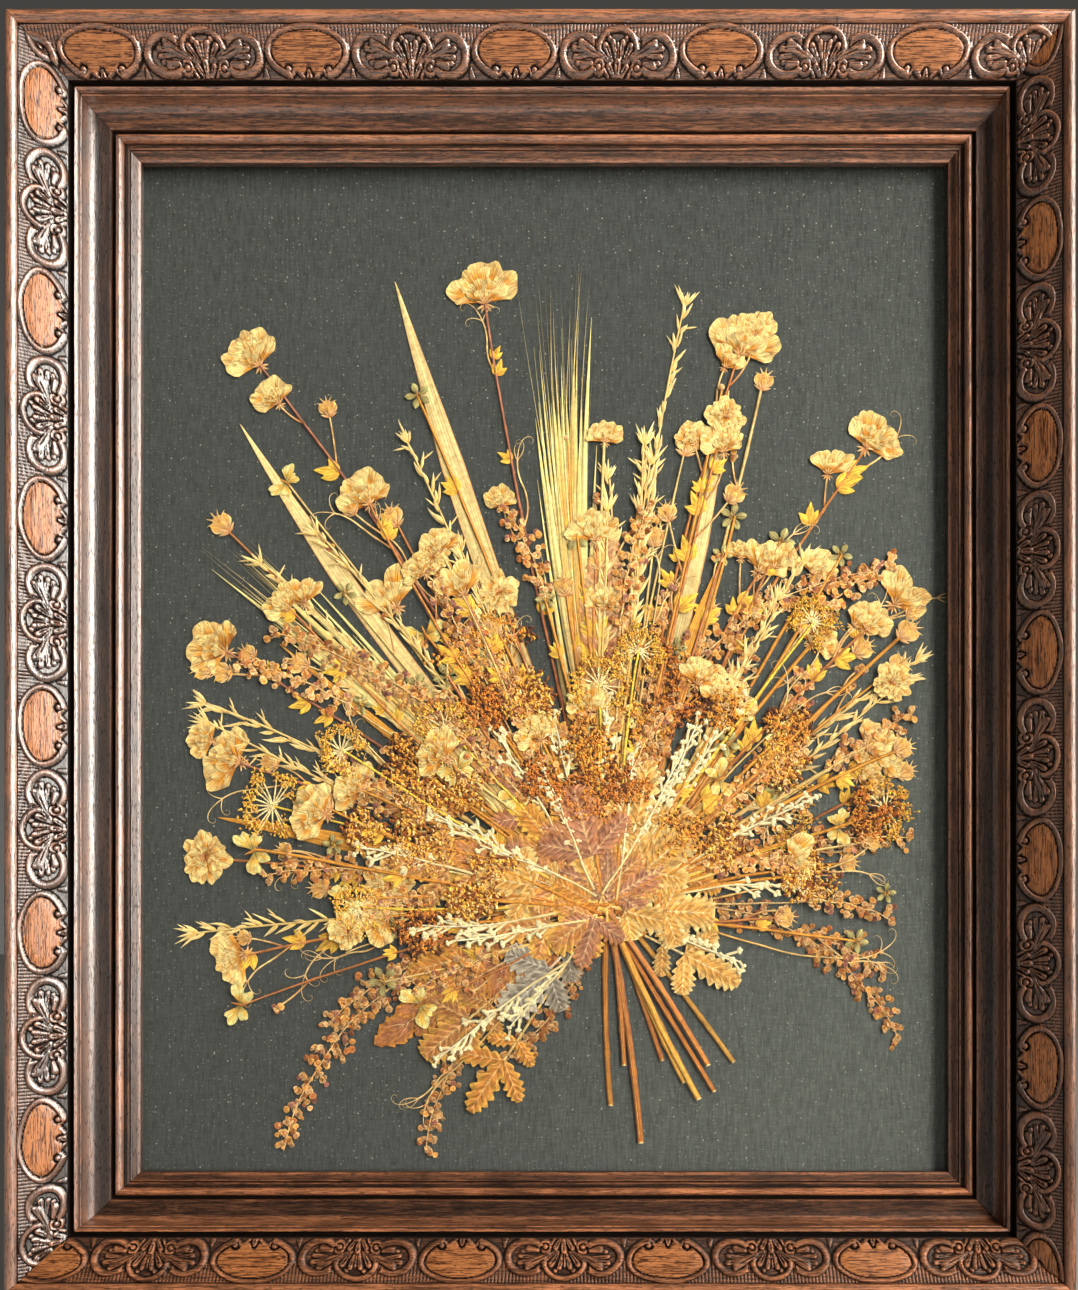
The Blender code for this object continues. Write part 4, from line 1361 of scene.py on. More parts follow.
    def piece(self, name: str, material: Material, slot: str, cloth_front: float, gather: Point2) -> Piece:
        """The gathered sheets as one piece that lies on the cloth.

        What lies deep in the thick of the spray is browned as painted shade: 1 - height / 2.9 mm
        darkens the tint, fully within 120 mm of the gather point and less and less so up to 190 mm.

        Args:
            name: the piece's name.
            material: its finish.
            slot: not used.
            cloth_front: the cloth's front, in metres.
            gather: the gather point, in mm.

        Returns:
            The piece.
        """
        points = np.vstack(self.points)
        world = np.column_stack([points[:, 0] * MM, cloth_front - points[:, 2] * MM, points[:, 1] * MM])
        faces = [np.vstack(groups) for groups in self.faces.values()]
        # Painted shade deep in the thick of the spray.
        deep, near, far = self.shaded
        away = np.hypot(*(points[:, :2] - gather).T)
        shade = np.clip(1 - points[:, 2] / deep, 0, 1) * np.clip((far - away) / (far - near), 0, 1)
        tint = np.vstack(self.tints) * (1 - shade[:, None] * np.array(self.shade))
        attributes = {"tint": tint, "flow": np.vstack(self.flows)}
        return new_piece(name, world, faces, material, attributes, 70)


@dataclass(frozen=True)
class Hues:
    """Colours of the dried plants."""

    cream: Colour = srgb("fbeab0")
    straw: Colour = srgb("f0d28a")
    blade: Colour = srgb("f3db98")
    gold: Colour = srgb("f2ba4c")
    honey: Colour = srgb("e6a03c")
    orange: Colour = srgb("d68432")
    rust: Colour = srgb("b06428")
    brown: Colour = srgb("74401a")
    shade: Colour = srgb("3a1c0c")
    copper: Colour = srgb("c68048")
    rim: Colour = srgb("f4cd8e")
    mauve: Colour = srgb("b0745a")
    plum: Colour = srgb("87504a")
    lemon: Colour = srgb("fbd84e")
    pale_green: Colour = srgb("c8c27c")
    olive: Colour = srgb("858150")
    silver: Colour = srgb("bdb198")
    dusty: Colour = srgb("fbf2ca")
    awn: Colour = srgb("f6e796")
    awn_tip: Colour = srgb("a39a70")
    papery: Colour = srgb("f0b968")
    felt: Colour = srgb("d9cf9e")
    fold: Colour = srgb("8a4414")
    petal: Colour = srgb("dd9634")
    petal_edge: Colour = srgb("fadd90")
    silver_blade: Colour = srgb("8f8270")
    silver_rim: Colour = srgb("cfc5ac")
    silver_vein: Colour = srgb("e2dac6")


HUE = Hues()


@dataclass(frozen=True)
class Scatter:
    """A handful of like pieces, spread evenly over a fan, each with its own small differences.

    Every pair is a range, of degrees from straight up for angles and bends, and of mm for the rest.
    """

    name: str
    kind: Kind
    count: int
    angles: Point2
    starts: Point2
    lengths: Point2
    bends: Point2
    half_widths: Point2
    lifts: Point2

    def specimens(self, rng: np.random.Generator) -> list[Specimen]:
        """The pieces, by chance but the same every time.

        Args:
            rng: where the chance comes from.

        Returns:
            One specimen for each even step of the fan.
        """
        step = (self.angles[1] - self.angles[0]) / self.count
        even = self.angles[0] + step * (np.arange(self.count) + rng.uniform(0.1, 0.9, self.count))
        ranges = (self.starts, self.lengths, self.bends, self.half_widths, self.lifts)
        columns = [even] + [rng.uniform(low, high, self.count) for low, high in ranges]
        return [Specimen(self.name, self.kind, *(float(value) for value in row)) for row in zip(*columns)]


# What fills the spray between the larger pieces, from the cloth outwards: the fields of a Scatter.
FILLING = (
    ("under_sprays", Kind.SPRAY, 10, (-100, 112), (56, 120), (56, 92), (-34, 34), (7, 9), (0.2, 0.9)),
    ("thin_stalks", Kind.STALK, 30, (-74, 100), (8, 16), (120, 218), (-12, 12), (0.7, 1.4), (0.3, 2.4)),
    ("short_stalks", Kind.STALK, 20, (-104, 128), (8, 16), (70, 125), (-16, 16), (0.6, 1.1), (0.9, 2.3)),
    ("tall_stalks", Kind.STALK, 13, (-38, 52), (8, 16), (215, 292), (-9, 9), (0.7, 1.2), (0.3, 1.8)),
    ("thin_sprigs", Kind.SPRIG, 8, (-66, 104), (58, 74), (96, 176), (-12, 12), (6.5, 9), (0.6, 1.8)),
    ("tall_sprigs", Kind.SPRIG, 6, (-36, 52), (90, 130), (120, 180), (-12, 12), (6.5, 9), (0.8, 1.8)),
    ("slim_blades", Kind.BLADE, 7, (-50, 88), (50, 60), (120, 210), (-8, 8), (2.2, 3.6), (0.5, 1.9)),
    ("between_sprays", Kind.SPRAY, 10, (-104, 116), (44, 110), (50, 84), (-40, 40), (6.5, 8.5), (1.2, 2.1)),
    ("more_blooms", Kind.BLOOM, 7, (-48, 62), (50, 60), (150, 232), (-14, 14), (10, 13.5), (1, 2)),
    ("high_sprays", Kind.SPRAY, 6, (-60, 64), (140, 180), (52, 78), (-34, 34), (6.5, 8.5), (1, 2)),
    ("tufts", Kind.FLORETS, 13, (-92, 104), (34, 118), (44, 60), (0, 0), (11, 17), (1.6, 2.6)),
    ("inner_tufts", Kind.FLORETS, 7, (-70, 96), (20, 44), (42, 54), (0, 0), (10, 14), (2.2, 2.8)),
    ("small_umbels", Kind.UMBEL, 7, (-84, 106), (84, 150), (50, 66), (-6, 6), (13, 18), (2, 2.5)),
    ("dusty_sprigs", Kind.DUSTY, 13, (-112, 150), (22, 84), (50, 84), (-14, 14), (7, 9), (2.4, 3)),
    ("small_leaves", Kind.SMALL_LEAF, 12, (-124, 168), (10, 84), (38, 58), (-10, 10), (11, 15), (1.2, 2.4)),
    ("stars", Kind.STAR, 9, (-96, 112), (96, 190), (12, 13), (0, 0), (6, 8), (1.4, 2.4)),
    ("small_blossoms", Kind.BLOSSOM, 8, (-86, 100), (84, 186), (26, 28), (-12, 12), (10, 13.5), (2.3, 2.7)),
    ("tendrils", Kind.TENDRIL, 9, (-112, 146), (70, 100), (56, 110), (-22, 22), (0.5, 0.7), (1, 2.2)),
    ("gather_leaves", Kind.SMALL_LEAF, 8, (-108, 120), (8, 34), (38, 54), (-14, 14), (12, 16), (2.3, 2.8)),
    ("collar_leaves", Kind.SMALL_LEAF, 8, (-128, 166), (-8, 6), (34, 48), (-14, 14), (11, 15), (2.7, 3.2)),
    ("collar_sprigs", Kind.DUSTY, 5, (-40, 110), (8, 30), (44, 76), (-10, 10), (6, 8), (3, 3.3)),
    ("low_stems", Kind.CUT_STEM, 5, (-178, -134), (12, 14), (70, 116), (-5, 5), (1.4, 1.9), (0.2, 1.3)),
)
SCATTERS = [Scatter(*row) for row in FILLING]


@dataclass
class Line:
    """A specimen's middle line: it leaves the gather point's surroundings and turns evenly."""

    origin: Point2
    specimen: Specimen
    steps: int = 80

    def at(self, t: Many) -> tuple[Array, Array]:
        """Places and headings along the line, by a running sum of short straight moves.

        Args:
            t: from 0 at the start to 1 at the tip.

        Returns:
            Places in mm and headings in radians.
        """
        angle, bend = self.specimen.angle, self.specimen.bend
        fine, t = np.linspace(0, 1, self.steps + 1), np.atleast_1d(t)
        ways = unit(np.radians(angle + bend * fine))
        moves = (ways[1:] + ways[:-1]) / 2 * self.specimen.length / self.steps
        start = np.array(self.origin) + ways[0] * self.specimen.start
        line = start + np.vstack([np.zeros(2), np.cumsum(moves, axis=0)])
        places = np.column_stack([np.interp(t, fine, line[:, axis]) for axis in (0, 1)])
        return places, np.radians(angle + bend * t)

    def from_gather(self, near: float, end: float, rows: int) -> tuple[Array, Array]:
        """Even places and headings from close to the gather point, straight at first, to t = end."""
        length = self.specimen.length
        along = np.linspace(near - self.specimen.start, end * length, rows)
        places, headings = self.at(np.clip(along / length, 0, 1))
        return places + np.minimum(along, 0)[:, None] * unit(headings), headings


# The forms of a blossom: for each layer of petals, their turns in radians, their reach as a share of
# the radius, the spread of each in radians and their height over the first layer's back in mm.
BLOSSOMS = {
    "standard": (
        ((-0.62, 0.62), 1.42, 1.75, 0.10),
        ((0,), 1.40, 2.1, 0.25),
        ((-0.35, 0.4), 0.92, 1.5, 0.50),
        ((0.05,), 0.56, 1.5, 0.72),
    ),
    "rosette": (
        (np.arange(7) * FULL_TURN / 7 - math.pi, 0.98, 1.15, 0.10),
        (np.arange(6) * FULL_TURN / 6 - math.pi + 0.4, 0.72, 1.2, 0.40),
        (np.arange(5) * FULL_TURN / 5 - math.pi + 0.8, 0.44, 1.4, 0.65),
    ),
    "pair": (
        ((-0.55, 0.58), 1.48, 1.35, 0.10),
        ((-0.28, 0.30), 1.05, 1.1, 0.38),
        ((0,), 0.78, 0.9, 0.60),
    ),
}


class PlantMaker:
    """Makes each kind of dried plant, as sheets added to a bunch.

    Lifts are mm over the back of the specimen, which lies its base in mm over the cloth.
    """

    frame_reach = 165  # mm beside the middle, from where side shoots turn inwards

    def __init__(self, bunch: Bunch, origin: Point2, specimen: Specimen, base: float) -> None:
        """Keeps what every kind needs."""
        self.bunch, self.rng, self.specimen, self.base = bunch, bunch.rng, specimen, base
        self.length, self.half = specimen.length, specimen.half_width
        self.line = Line(origin, specimen)
        self.tone = self.rng.uniform(0.72, 1.05)

    def make(self) -> None:
        """Makes the specimen, with its kind's method."""
        getattr(self, self.specimen.kind.value[0])()

    def sides(self, count: int) -> Array:
        """-1 and 1 in turn."""
        return np.where(np.arange(count) % 2, 1.0, -1.0)

    def tossed(self, count: int) -> Array:
        """-1 or 1, by chance."""
        return np.where(self.rng.random(count) < 0.5, 1, -1)

    def one_of(self, *choices: object) -> object:
        """One of the choices, by chance."""
        return choices[self.rng.integers(len(choices))]

    def point(self, t: float) -> tuple[Array, float]:
        """The place and the heading at one t."""
        places, headings = self.line.at(t)
        return places[0], float(headings[0])

    def strips(
        self, roots: Array, headings: Many, lengths: Many, halves: Many, lifts: Many, crowns: Many,
        *shape: object, **paint: object,
    ) -> tuple[Array, Array]:
        """Adds strips at lifts over the specimen's back; see Bunch.strips for the rest."""
        return self.bunch.strips(roots, headings, lengths, halves, self.base + lifts, crowns, *shape, **paint)

    def stem(
        self, places: Array, headings: Array, half: Many, crown: float, root: Colour, tip: Colour,
        edge: Colour | None = None, columns: int = 5, lift: float = 0, power: float = 2.5,
    ) -> None:
        """A long strip along given places: each row reaches half to either side, under an arc.

        Args:
            places: its middle line, in mm.
            headings: the line's headings, in radians.
            half: half width in mm.
            crown: mm that the middle stands over the back.
            root: the colour at its start.
            tip: the colour at its end.
            edge: the colour of its sides, if they differ.
            columns: points across it.
            lift: mm over the specimen's back.
            power: how closely the edge colour keeps to the sides.
        """
        across = np.linspace(-1, 1, columns)
        width = np.broadcast_to(half, (len(places),))[:, None] * across
        place = places[:, None] + width[..., None] * rightwards(headings)[:, None]
        along = np.concatenate([[0], np.cumsum(np.hypot(*np.diff(places, axis=0).T))])[:, None]
        seed = self.rng.uniform(0, 90, 1)
        tint = self.bunch.colours((len(places), columns), 1, root, tip, edge, power=power)
        self.bunch.add(place[None], self.base + lift + crown * arched(across), tint, width, along, seed)

    def thin_stalk(self, end: float, half: float, root: Colour, tip: Colour, near: float = 0) -> None:
        """A stalk from the gather point that wanders a little, with joints along it.

        Args:
            end: where on the line it ends, as t.
            half: half width in mm.
            root: the colour at its start.
            tip: the colour at its end.
            near: mm from the gather point to its start, or a little less.
        """
        rows = 50
        places, headings = self.line.from_gather(near + self.rng.uniform(0, 9), end, rows)
        phase, joints = self.rng.uniform(0, 6.3), self.rng.uniform(0.2, 0.9, 3)
        t = np.linspace(0, 1, rows)
        sway = 0.8 * np.sin(5 * t + phase) + 0.4 * np.abs(np.sin(9 * t + phase))
        places = places + sway[:, None] * rightwards(headings)
        taper = half * np.linspace(1.2, 0.75, rows) * (1 + 0.35 * bells(t, joints))
        # The stalk's sides darken to 0.4 of the tip colour: painted shade on its rounded sides.
        self.stem(places, headings, taper, half, root, tip, tuple(0.4 * np.array(tip)))

    def cut_stem(self) -> None:
        """A stout stalk end: ridged along its middle, with two joints and a square cut."""
        rows = 56
        places, headings = self.line.from_gather(-12, 1, rows)
        t = np.linspace(0, 1, rows)
        half = self.half * (1 + 0.26 * bells(t, self.rng.uniform(0.3, 0.85, 2))) * (1 - 0.12 * t)
        root, tip = self.one_of(
            (HUE.honey, HUE.gold), (HUE.orange, HUE.honey), (HUE.copper, HUE.orange), (HUE.rust, HUE.orange)
        )
        # The stem's sides darken to 0.3 of the root colour: painted shade on its rounded sides.
        self.stem(places, headings, half, 1, root, tip, tuple(0.30 * np.array(root)), 9)
        ridge = places + 0.25 * half[:, None] * rightwards(headings)
        self.stem(ridge[1:-1], headings[1:-1], 0.16 * half[1:-1], 1.06, HUE.gold, HUE.straw)
        end, turn = places[-1:], headings[-1:]
        self.strips(
            end - 0.7 * unit(turn), turn, 1, half[-1:] * 0.92, 0.1, 1, "stem", grid=(3, 5),
            root=HUE.straw, tip=HUE.cream,
        )

    def blade(self) -> None:
        """A strap of a leaf that narrows to its point, with a keel and fine parallel ribs."""
        rows = 70
        t = np.linspace(0, 1, rows)
        places, headings = self.line.from_gather(12, 1, rows)
        point = np.minimum(1, (1 - t) / 0.30) ** 0.85
        half = 0.25 + (self.half - 0.25) * point * (0.7 + 0.3 * np.minimum(1, t / 0.35))
        broad, slim = (HUE.straw, HUE.blade, HUE.copper), (HUE.gold, HUE.honey, HUE.honey)
        self.stem(places, headings, half, 0.35, *(slim if self.half < 5 else broad), 17, power=14)
        ribs = ((0.10, 0.07, HUE.cream), (-0.42, 0.035, HUE.copper), (0.55, 0.035, HUE.honey))
        for offset, width, colour in ribs:
            rib = places + offset * half[:, None] * rightwards(headings)
            self.stem(rib[2:-4], headings[2:-4], width * half[2:-4], 0.40, colour, colour, None, 3)

    def ear(self) -> None:
        """A bearded ear pressed flat: long narrow pale spikelets that taper to hair-fine awns."""
        rng, length, turn = self.rng, self.length, math.radians(self.specimen.bend)
        self.thin_stalk(0.62, 1, HUE.gold, HUE.straw)
        count = 16
        at, way = self.line.at(rng.uniform(0, 0.34, count))
        fan = rng.uniform(-0.10, 0.10, count)
        self.strips(
            at - (5 * fan * self.half)[:, None] * rightwards(way), way + fan,
            length * rng.uniform(0.38, 0.64, count), rng.uniform(1.3, 2.4, count),
            rng.uniform(0, 0.5, count), 0.45, "spear", turn * 0.5, grid=(30, 7), root=HUE.straw,
            tip=HUE.awn, edge=HUE.olive, power=6, vary=0.16,
        )
        count = 20
        t = np.sort(rng.uniform(0.10, 0.58, count))
        places, headings = self.line.at(t)
        side = self.sides(count)
        out = side * rng.uniform(0.2, 0.30, count) * self.half
        fan = -side * rng.uniform(0, 0.075, count)
        reach = length * rng.uniform(0.20, 0.32, count)
        lifts = 0.1 + 0.05 * np.arange(count) % 0.6
        tips, ends = self.strips(
            places + out[:, None] * rightwards(headings), headings + fan, reach,
            rng.uniform(1.1, 2.1, count), lifts, 0.5, "leaf", turn * 0.25, rises=0.2, grid=(16, 5),
            power=5, root=HUE.honey, tip=HUE.awn, edge=HUE.olive, vary=0.16,
        )
        spread = ends + rng.normal(0, 0.03, count)
        left = ((1 - t) * length - reach) * rng.uniform(0.5, 1, count)
        self.strips(
            tips - 3 * unit(ends), spread, np.maximum(left, 22), 0.3, lifts + 0.2, 0.22, "awn",
            turn * 0.4, grid=(12, 3), root=HUE.straw, tip=HUE.awn_tip, vary=0.3,
        )
        count = 12
        fan = self.sides(count) * rng.uniform(0, 0.06, count)
        at, way = self.point(0.12)
        self.strips(
            at + rng.normal(0, 0.7, (count, 2)), way - fan, length * rng.uniform(0.4, 0.75, count), 0.55,
            0.15, 0.35, "awn", turn * 0.5, grid=(20, 3), root=HUE.cream, tip=HUE.awn, vary=0.2,
        )

    def sprig(self) -> None:
        """A stalk with thin, pointed leaves on both sides, many curved in, and a tuft at its end."""
        rng, jitter = self.rng, self.bunch.jitter
        self.thin_stalk(1, 0.75, HUE.gold, HUE.straw)
        count = int(self.length / 4.6)
        t = np.linspace(0.10, 1, count) + jitter(count, 0.012)
        places, headings = self.line.at(t)
        side = self.tossed(count)
        lean = headings - side * rng.uniform(0.16, 0.72, count)
        length = rng.uniform(1, 2.3, count) * self.half * (1.15 - 0.45 * t)
        paint = {"root": HUE.gold, "tip": HUE.cream, "edge": HUE.straw, "vary": 0.2}
        tips, ends = self.strips(
            places, lean, length, rng.uniform(0.7, 1.25, count), 0.15, 0.4, "leaf",
            side * rng.uniform(-0.1, 0.7, count), rises=0.4, **paint,
        )
        forked = tips[::3] - 0.45 * length[::3, None] * unit(ends[::3])
        turn = rng.uniform(0.3, 0.8, len(forked)) * -side[::3]
        self.strips(forked, ends[::3] + turn, 7.5, 0.55, 0.3, 0.35, grid=(6, 5), **paint)
        fan = headings[-1] + np.linspace(-0.6, 0.6, 7) + jitter(7, 0.1)
        self.strips(places[-1], fan, rng.uniform(6, 15, 7), 0.8, 0.3, 0.45, **paint)

    def valves(self, centres: Array, headings: Many, sizes: Array, lifts: Many, plum: float = 0.06) -> None:
        """Papery round seed valves: a light raised rim round a darker, sunken middle.

        Each is a disc of radius size whose height is an arc with its middle pressed in. The tint
        goes from the heart's colour to the rim's with the distance from the middle.

        Args:
            centres: their middles, in mm.
            headings: the way each points, in radians.
            sizes: their radii in mm.
            lifts: mm over the specimen's back.
            plum: the share of them that is plum-coloured.
        """
        count = len(centres)
        headings, lifts = (np.broadcast_to(values, (count,))[:, None, None] for values in (headings, lifts))
        sizes = sizes[:, None, None]
        t, c = np.linspace(-0.98, 0.98, 6)[:, None], np.linspace(-1, 1, 5)
        x, y = c * np.sqrt(1 - t**2), t + 0 * c
        distance = np.hypot(x, y)
        y = y * (1 - 0.30 * np.clip(y, 0, 1) ** 4 * (1 - np.abs(x)) ** 2) * 1.12
        x, y = x * sizes, y * sizes
        turned = x[..., None] * rightwards(headings) + y[..., None] * unit(headings)
        tilt = self.rng.normal(0, 0.26, (count, 2))[:, None, None]
        height = 0.42 * np.sqrt(np.clip(1 - distance**2, 0, 1)) - 0.34 * np.exp(-((distance / 0.42) ** 2))
        height = self.base + lifts + height * sizes / 2 + x * tilt[..., 0] + y * tilt[..., 1] + 0.45
        near = np.clip(distance**1.5, 0, 1)[..., None]
        hearts = np.array([HUE.plum, HUE.copper, HUE.rust, HUE.orange]) * self.tone
        rims = np.array([HUE.mauve, HUE.rim, HUE.copper, HUE.papery]) * self.tone
        pick = np.digitize(self.rng.random(count), [plum, 0.5, 0.68])
        tint = hearts[pick][:, None, None] * (1 - near) + rims[pick][:, None, None] * near
        tint = self.bunch.varied(tint, count, 0.25)
        self.bunch.add(centres[:, None, None] + turned, height, tint, x, y, self.rng.uniform(0, 90, count))

    def spray(self) -> None:
        """An arching seed spray: clumps of overlapping valves on short stalks along a thin stem."""
        rng, clumps, per = self.rng, int(self.length / 4.4), 9
        self.thin_stalk(0.15, 0.6, HUE.straw, HUE.rim, near=max(2, self.specimen.start - 80))
        t = np.linspace(0.06, 0.99, clumps) + self.bunch.jitter(clumps, 0.01)
        places, headings = self.line.at(t)
        side = self.sides(clumps)
        envelope = np.minimum(1, (t + 0.02) / 0.18) * np.sqrt(np.clip(1.12 - t, 0, 1) / 0.5).clip(0, 1)
        out = headings - side * rng.uniform(0.7, 1.2, clumps)
        reaches = self.half * envelope * rng.uniform(0.6, 1.05, clumps)
        pale = {"root": HUE.straw, "tip": HUE.rim}
        self.strips(places, out, reaches, 0.24, 0.1, 0.25, "stem", side * 0.5, grid=(5, 3), **pale)
        along = unit(out)[:, None] * (np.linspace(0.15, 1.1, per) * reaches[:, None])[..., None]
        centres = places[:, None] + along + rng.normal(0, 1.3, (clumps, per, 2)) * envelope[:, None, None]
        sizes = rng.uniform(1.05, 2.05, clumps * per) * np.repeat(0.75 + 0.25 * envelope, per)
        lifts = rng.uniform(0.1, 0.9, clumps * per)
        turns = (out[:, None] + rng.normal(0, 0.6, (clumps, per))).ravel()
        self.valves(centres.reshape(-1, 2), turns, sizes, lifts)
        fine = np.linspace(0.02, 1, 50)
        middle, way = self.line.at(fine)
        middle = middle + (0.5 * np.sin(fine * 21 + rng.uniform(0, 6)))[:, None] * rightwards(way)
        self.stem(middle, way, 0.5 * (1.2 - 0.6 * fine), 0.5, HUE.straw, HUE.rim, HUE.copper, 5, 0.9)
        loose = rng.random(clumps) < 0.4
        if loose.any():
            near, out, reaches = places[loose], out[loose], reaches[loose]
            self.strips(near, out, reaches + 2.6, 0.22, 0.1, 0.2, "stem", grid=(4, 3), **pale)
            far = near + (reaches + 3.4)[:, None] * unit(out)
            self.valves(far, out, rng.uniform(1.3, 2, len(far)), 0.1, 0.2)

    def crumbs(
        self, centres: Array, size: float, lifts: Many, dark: Colour, light: Colour, vary: float = 0.3
    ) -> None:
        """Curled bits of dried floret: short strips bent tight, each turned its own way.

        Args:
            centres: where they start, in mm.
            size: their length in mm.
            lifts: mm over the specimen's back.
            dark: the colour at the start.
            light: the colour at the end.
            vary: how much lighter or darker one is than another.
        """
        count, rng = len(centres), self.rng
        self.strips(
            centres, rng.uniform(0, 6.3, count), rng.uniform(0.8, 1.6, count) * size,
            rng.uniform(0.20, 0.42, count) * size, lifts, 0.42 * size, "leaf",
            rng.choice([-1, 1], count) * rng.uniform(1.2, 2.8, count),
            rises=rng.uniform(-0.4, 0.4, count), grid=(4, 3), root=dark, tip=light, edge=light, vary=vary,
        )

    def head_centre(self) -> tuple[Array, float]:
        """The middle of the round head at the line's tip, and the heading there."""
        return self.point(1 - self.half / self.length)

    def knots(self, centre: Array, radius: float, count: int) -> Array:
        """Places spread evenly over a disc, on a sunflower's spiral, each moved a little."""
        number = np.arange(count)
        away = radius * np.sqrt((number + 0.5) / count)
        angle = number * math.radians(137.5) + self.rng.uniform(0, 6.3)
        return centre + away[:, None] * unit(angle) + self.rng.normal(0, radius * 0.09, (count, 2))

    def florets(self) -> None:
        """A crumbly head: thin rays end in clusters of curled orange florets, with dark ones below as painted
        shade.

        The clusters fill a disc that is stretched and notched by chance, so that no head is round.
        """
        rng, radius, per = self.rng, self.half, 16
        centre, heading = self.head_centre()
        self.thin_stalk(1 - radius / self.length, 1.1, HUE.orange, HUE.honey)
        clusters = self.knots(centre, radius * 0.88, int(radius * 0.95))
        stretch = unit(rng.uniform(0, 6.3))
        clusters = clusters + 0.22 * ((clusters - centre) @ stretch)[:, None] * stretch
        clusters = clusters[rng.random(len(clusters)) < 0.82]
        foot = centre - radius * 0.9 * unit(heading)
        x, y = (clusters - foot).T
        self.strips(
            foot, np.arctan2(-x, y), np.hypot(x, y), 0.45, 0.1, 0.35, "stem",
            self.bunch.jitter(len(clusters), 0.2), grid=(6, 3), root=HUE.honey, tip=HUE.orange,
        )
        dark, warm, light, bright = self.one_of(
            (HUE.brown, HUE.rust, HUE.orange, HUE.honey),
            (HUE.brown, HUE.orange, HUE.honey, HUE.gold),
            (HUE.rust, HUE.honey, HUE.gold, HUE.rim),
        )
        spread = rng.normal(0, 1, (len(clusters), per, 2)) * 2.7
        # The lowest crumbs go from near black: painted shade under the head.
        low = (clusters[:, None] + spread * 1.15).reshape(-1, 2)
        self.crumbs(low, 3, rng.uniform(0, 0.4, len(low)), HUE.shade, dark)
        high = (clusters[:, None] + spread * 0.9 + rng.normal(0, 0.6, spread.shape)).reshape(-1, 2)
        high = high[rng.random(len(high)) < 0.75]
        self.crumbs(high, 2.8, rng.uniform(0.3, 0.9, len(high)), warm, light, 0.4)
        top = high[::2] + rng.normal(0, 1, high[::2].shape)
        self.crumbs(top, 2.4, rng.uniform(0.7, 1.1, len(top)), light, bright)

    def umbel(self) -> None:
        """A spoked umbel: pale rays from a bright hub, each ending in a knot of yellow florets."""
        rng, radius, jitter = self.rng, self.half, self.bunch.jitter
        centre, heading = self.head_centre()
        self.thin_stalk(1 - radius / self.length, 0.9, HUE.gold, HUE.lemon)
        rays, per = int(10 + radius * 0.3), 16
        angles = heading + np.linspace(-2.4, 2.4, rays) + jitter(rays, 0.12)
        tips, _ = self.strips(
            centre, angles, radius * rng.uniform(0.6, 0.98, rays), 0.42, 0.2, 0.35, "stem",
            jitter(rays, 0.3), rises=0.4, grid=(8, 3), root=HUE.cream, tip=HUE.straw,
        )
        self.crumbs(self.knots(centre, 1.6, 12), 1.5, 0.5, HUE.gold, HUE.cream)
        knots = (tips[:, None] + rng.normal(0, 1, (rays, per, 2)) * 2).reshape(-1, 2)
        lifts = rng.uniform(0.2, 0.8, len(knots))
        self.crumbs(knots, 1.9, lifts, HUE.orange, HUE.gold)
        bright = knots[::2] + rng.normal(0, 0.6, knots[::2].shape)
        self.crumbs(bright, 1.6, lifts[::2] + 0.4, HUE.honey, HUE.lemon, 0.2)

    def leaf_hues(self) -> tuple[Colour, Colour, Colour, Colour]:
        """Colours of a leaf's blade, its tip, its rim and its veins."""
        if self.specimen.name == "silver_leaf":
            return HUE.silver_blade, HUE.silver, HUE.silver_rim, HUE.silver_vein
        return self.one_of(
            (HUE.mauve, HUE.copper, HUE.honey, HUE.rim),
            (HUE.mauve, HUE.rim, HUE.copper, HUE.rim),
            (HUE.copper, HUE.honey, HUE.gold, HUE.straw),
            (HUE.orange, HUE.honey, HUE.gold, HUE.straw),
            (HUE.honey, HUE.gold, HUE.straw, HUE.cream),
        )

    def leaf_stalk(self, end: float, rows: int, half: float, tip: Colour) -> None:
        """A leaf's own stalk, from close to the gather point to t = end."""
        places, headings = self.line.from_gather(min(2, self.specimen.start), end, rows)
        self.stem(places, headings, half, 0.5, HUE.gold, tip)

    def compound_leaf(self) -> None:
        """A leaf of three or five toothed leaflets on one stalk, the last one the largest."""
        rng = self.rng
        body, _, edge, light = self.leaf_hues()
        count = 5 if self.length > 48 else 3
        t, side = np.array([0.38, 0.36, 0.36, 0.10, 0.10]), np.array([0, -1, 1, -1, 1])
        reach, wide = np.array([0.62, 0.46, 0.46, 0.34, 0.34]), np.array([0.78, 0.60, 0.60, 0.46, 0.46])
        t, side, reach, wide = (values[:count] for values in (t, side, reach, wide))
        places, headings = self.line.at(t)
        self.bunch.leaflets(
            places, headings + side * rng.uniform(0.85, 1.15, count),
            reach * self.length * rng.uniform(0.9, 1.1, count),
            wide * self.half * rng.uniform(0.9, 1.1, count), self.base + 0.1 + 0.12 * np.arange(count)[::-1],
            side * 0.2 + rng.normal(0, 0.12, count), (body, edge, light), rng.integers(6, 9), 0.42,
        )
        self.leaf_stalk(0.4, 16, 0.7, light)

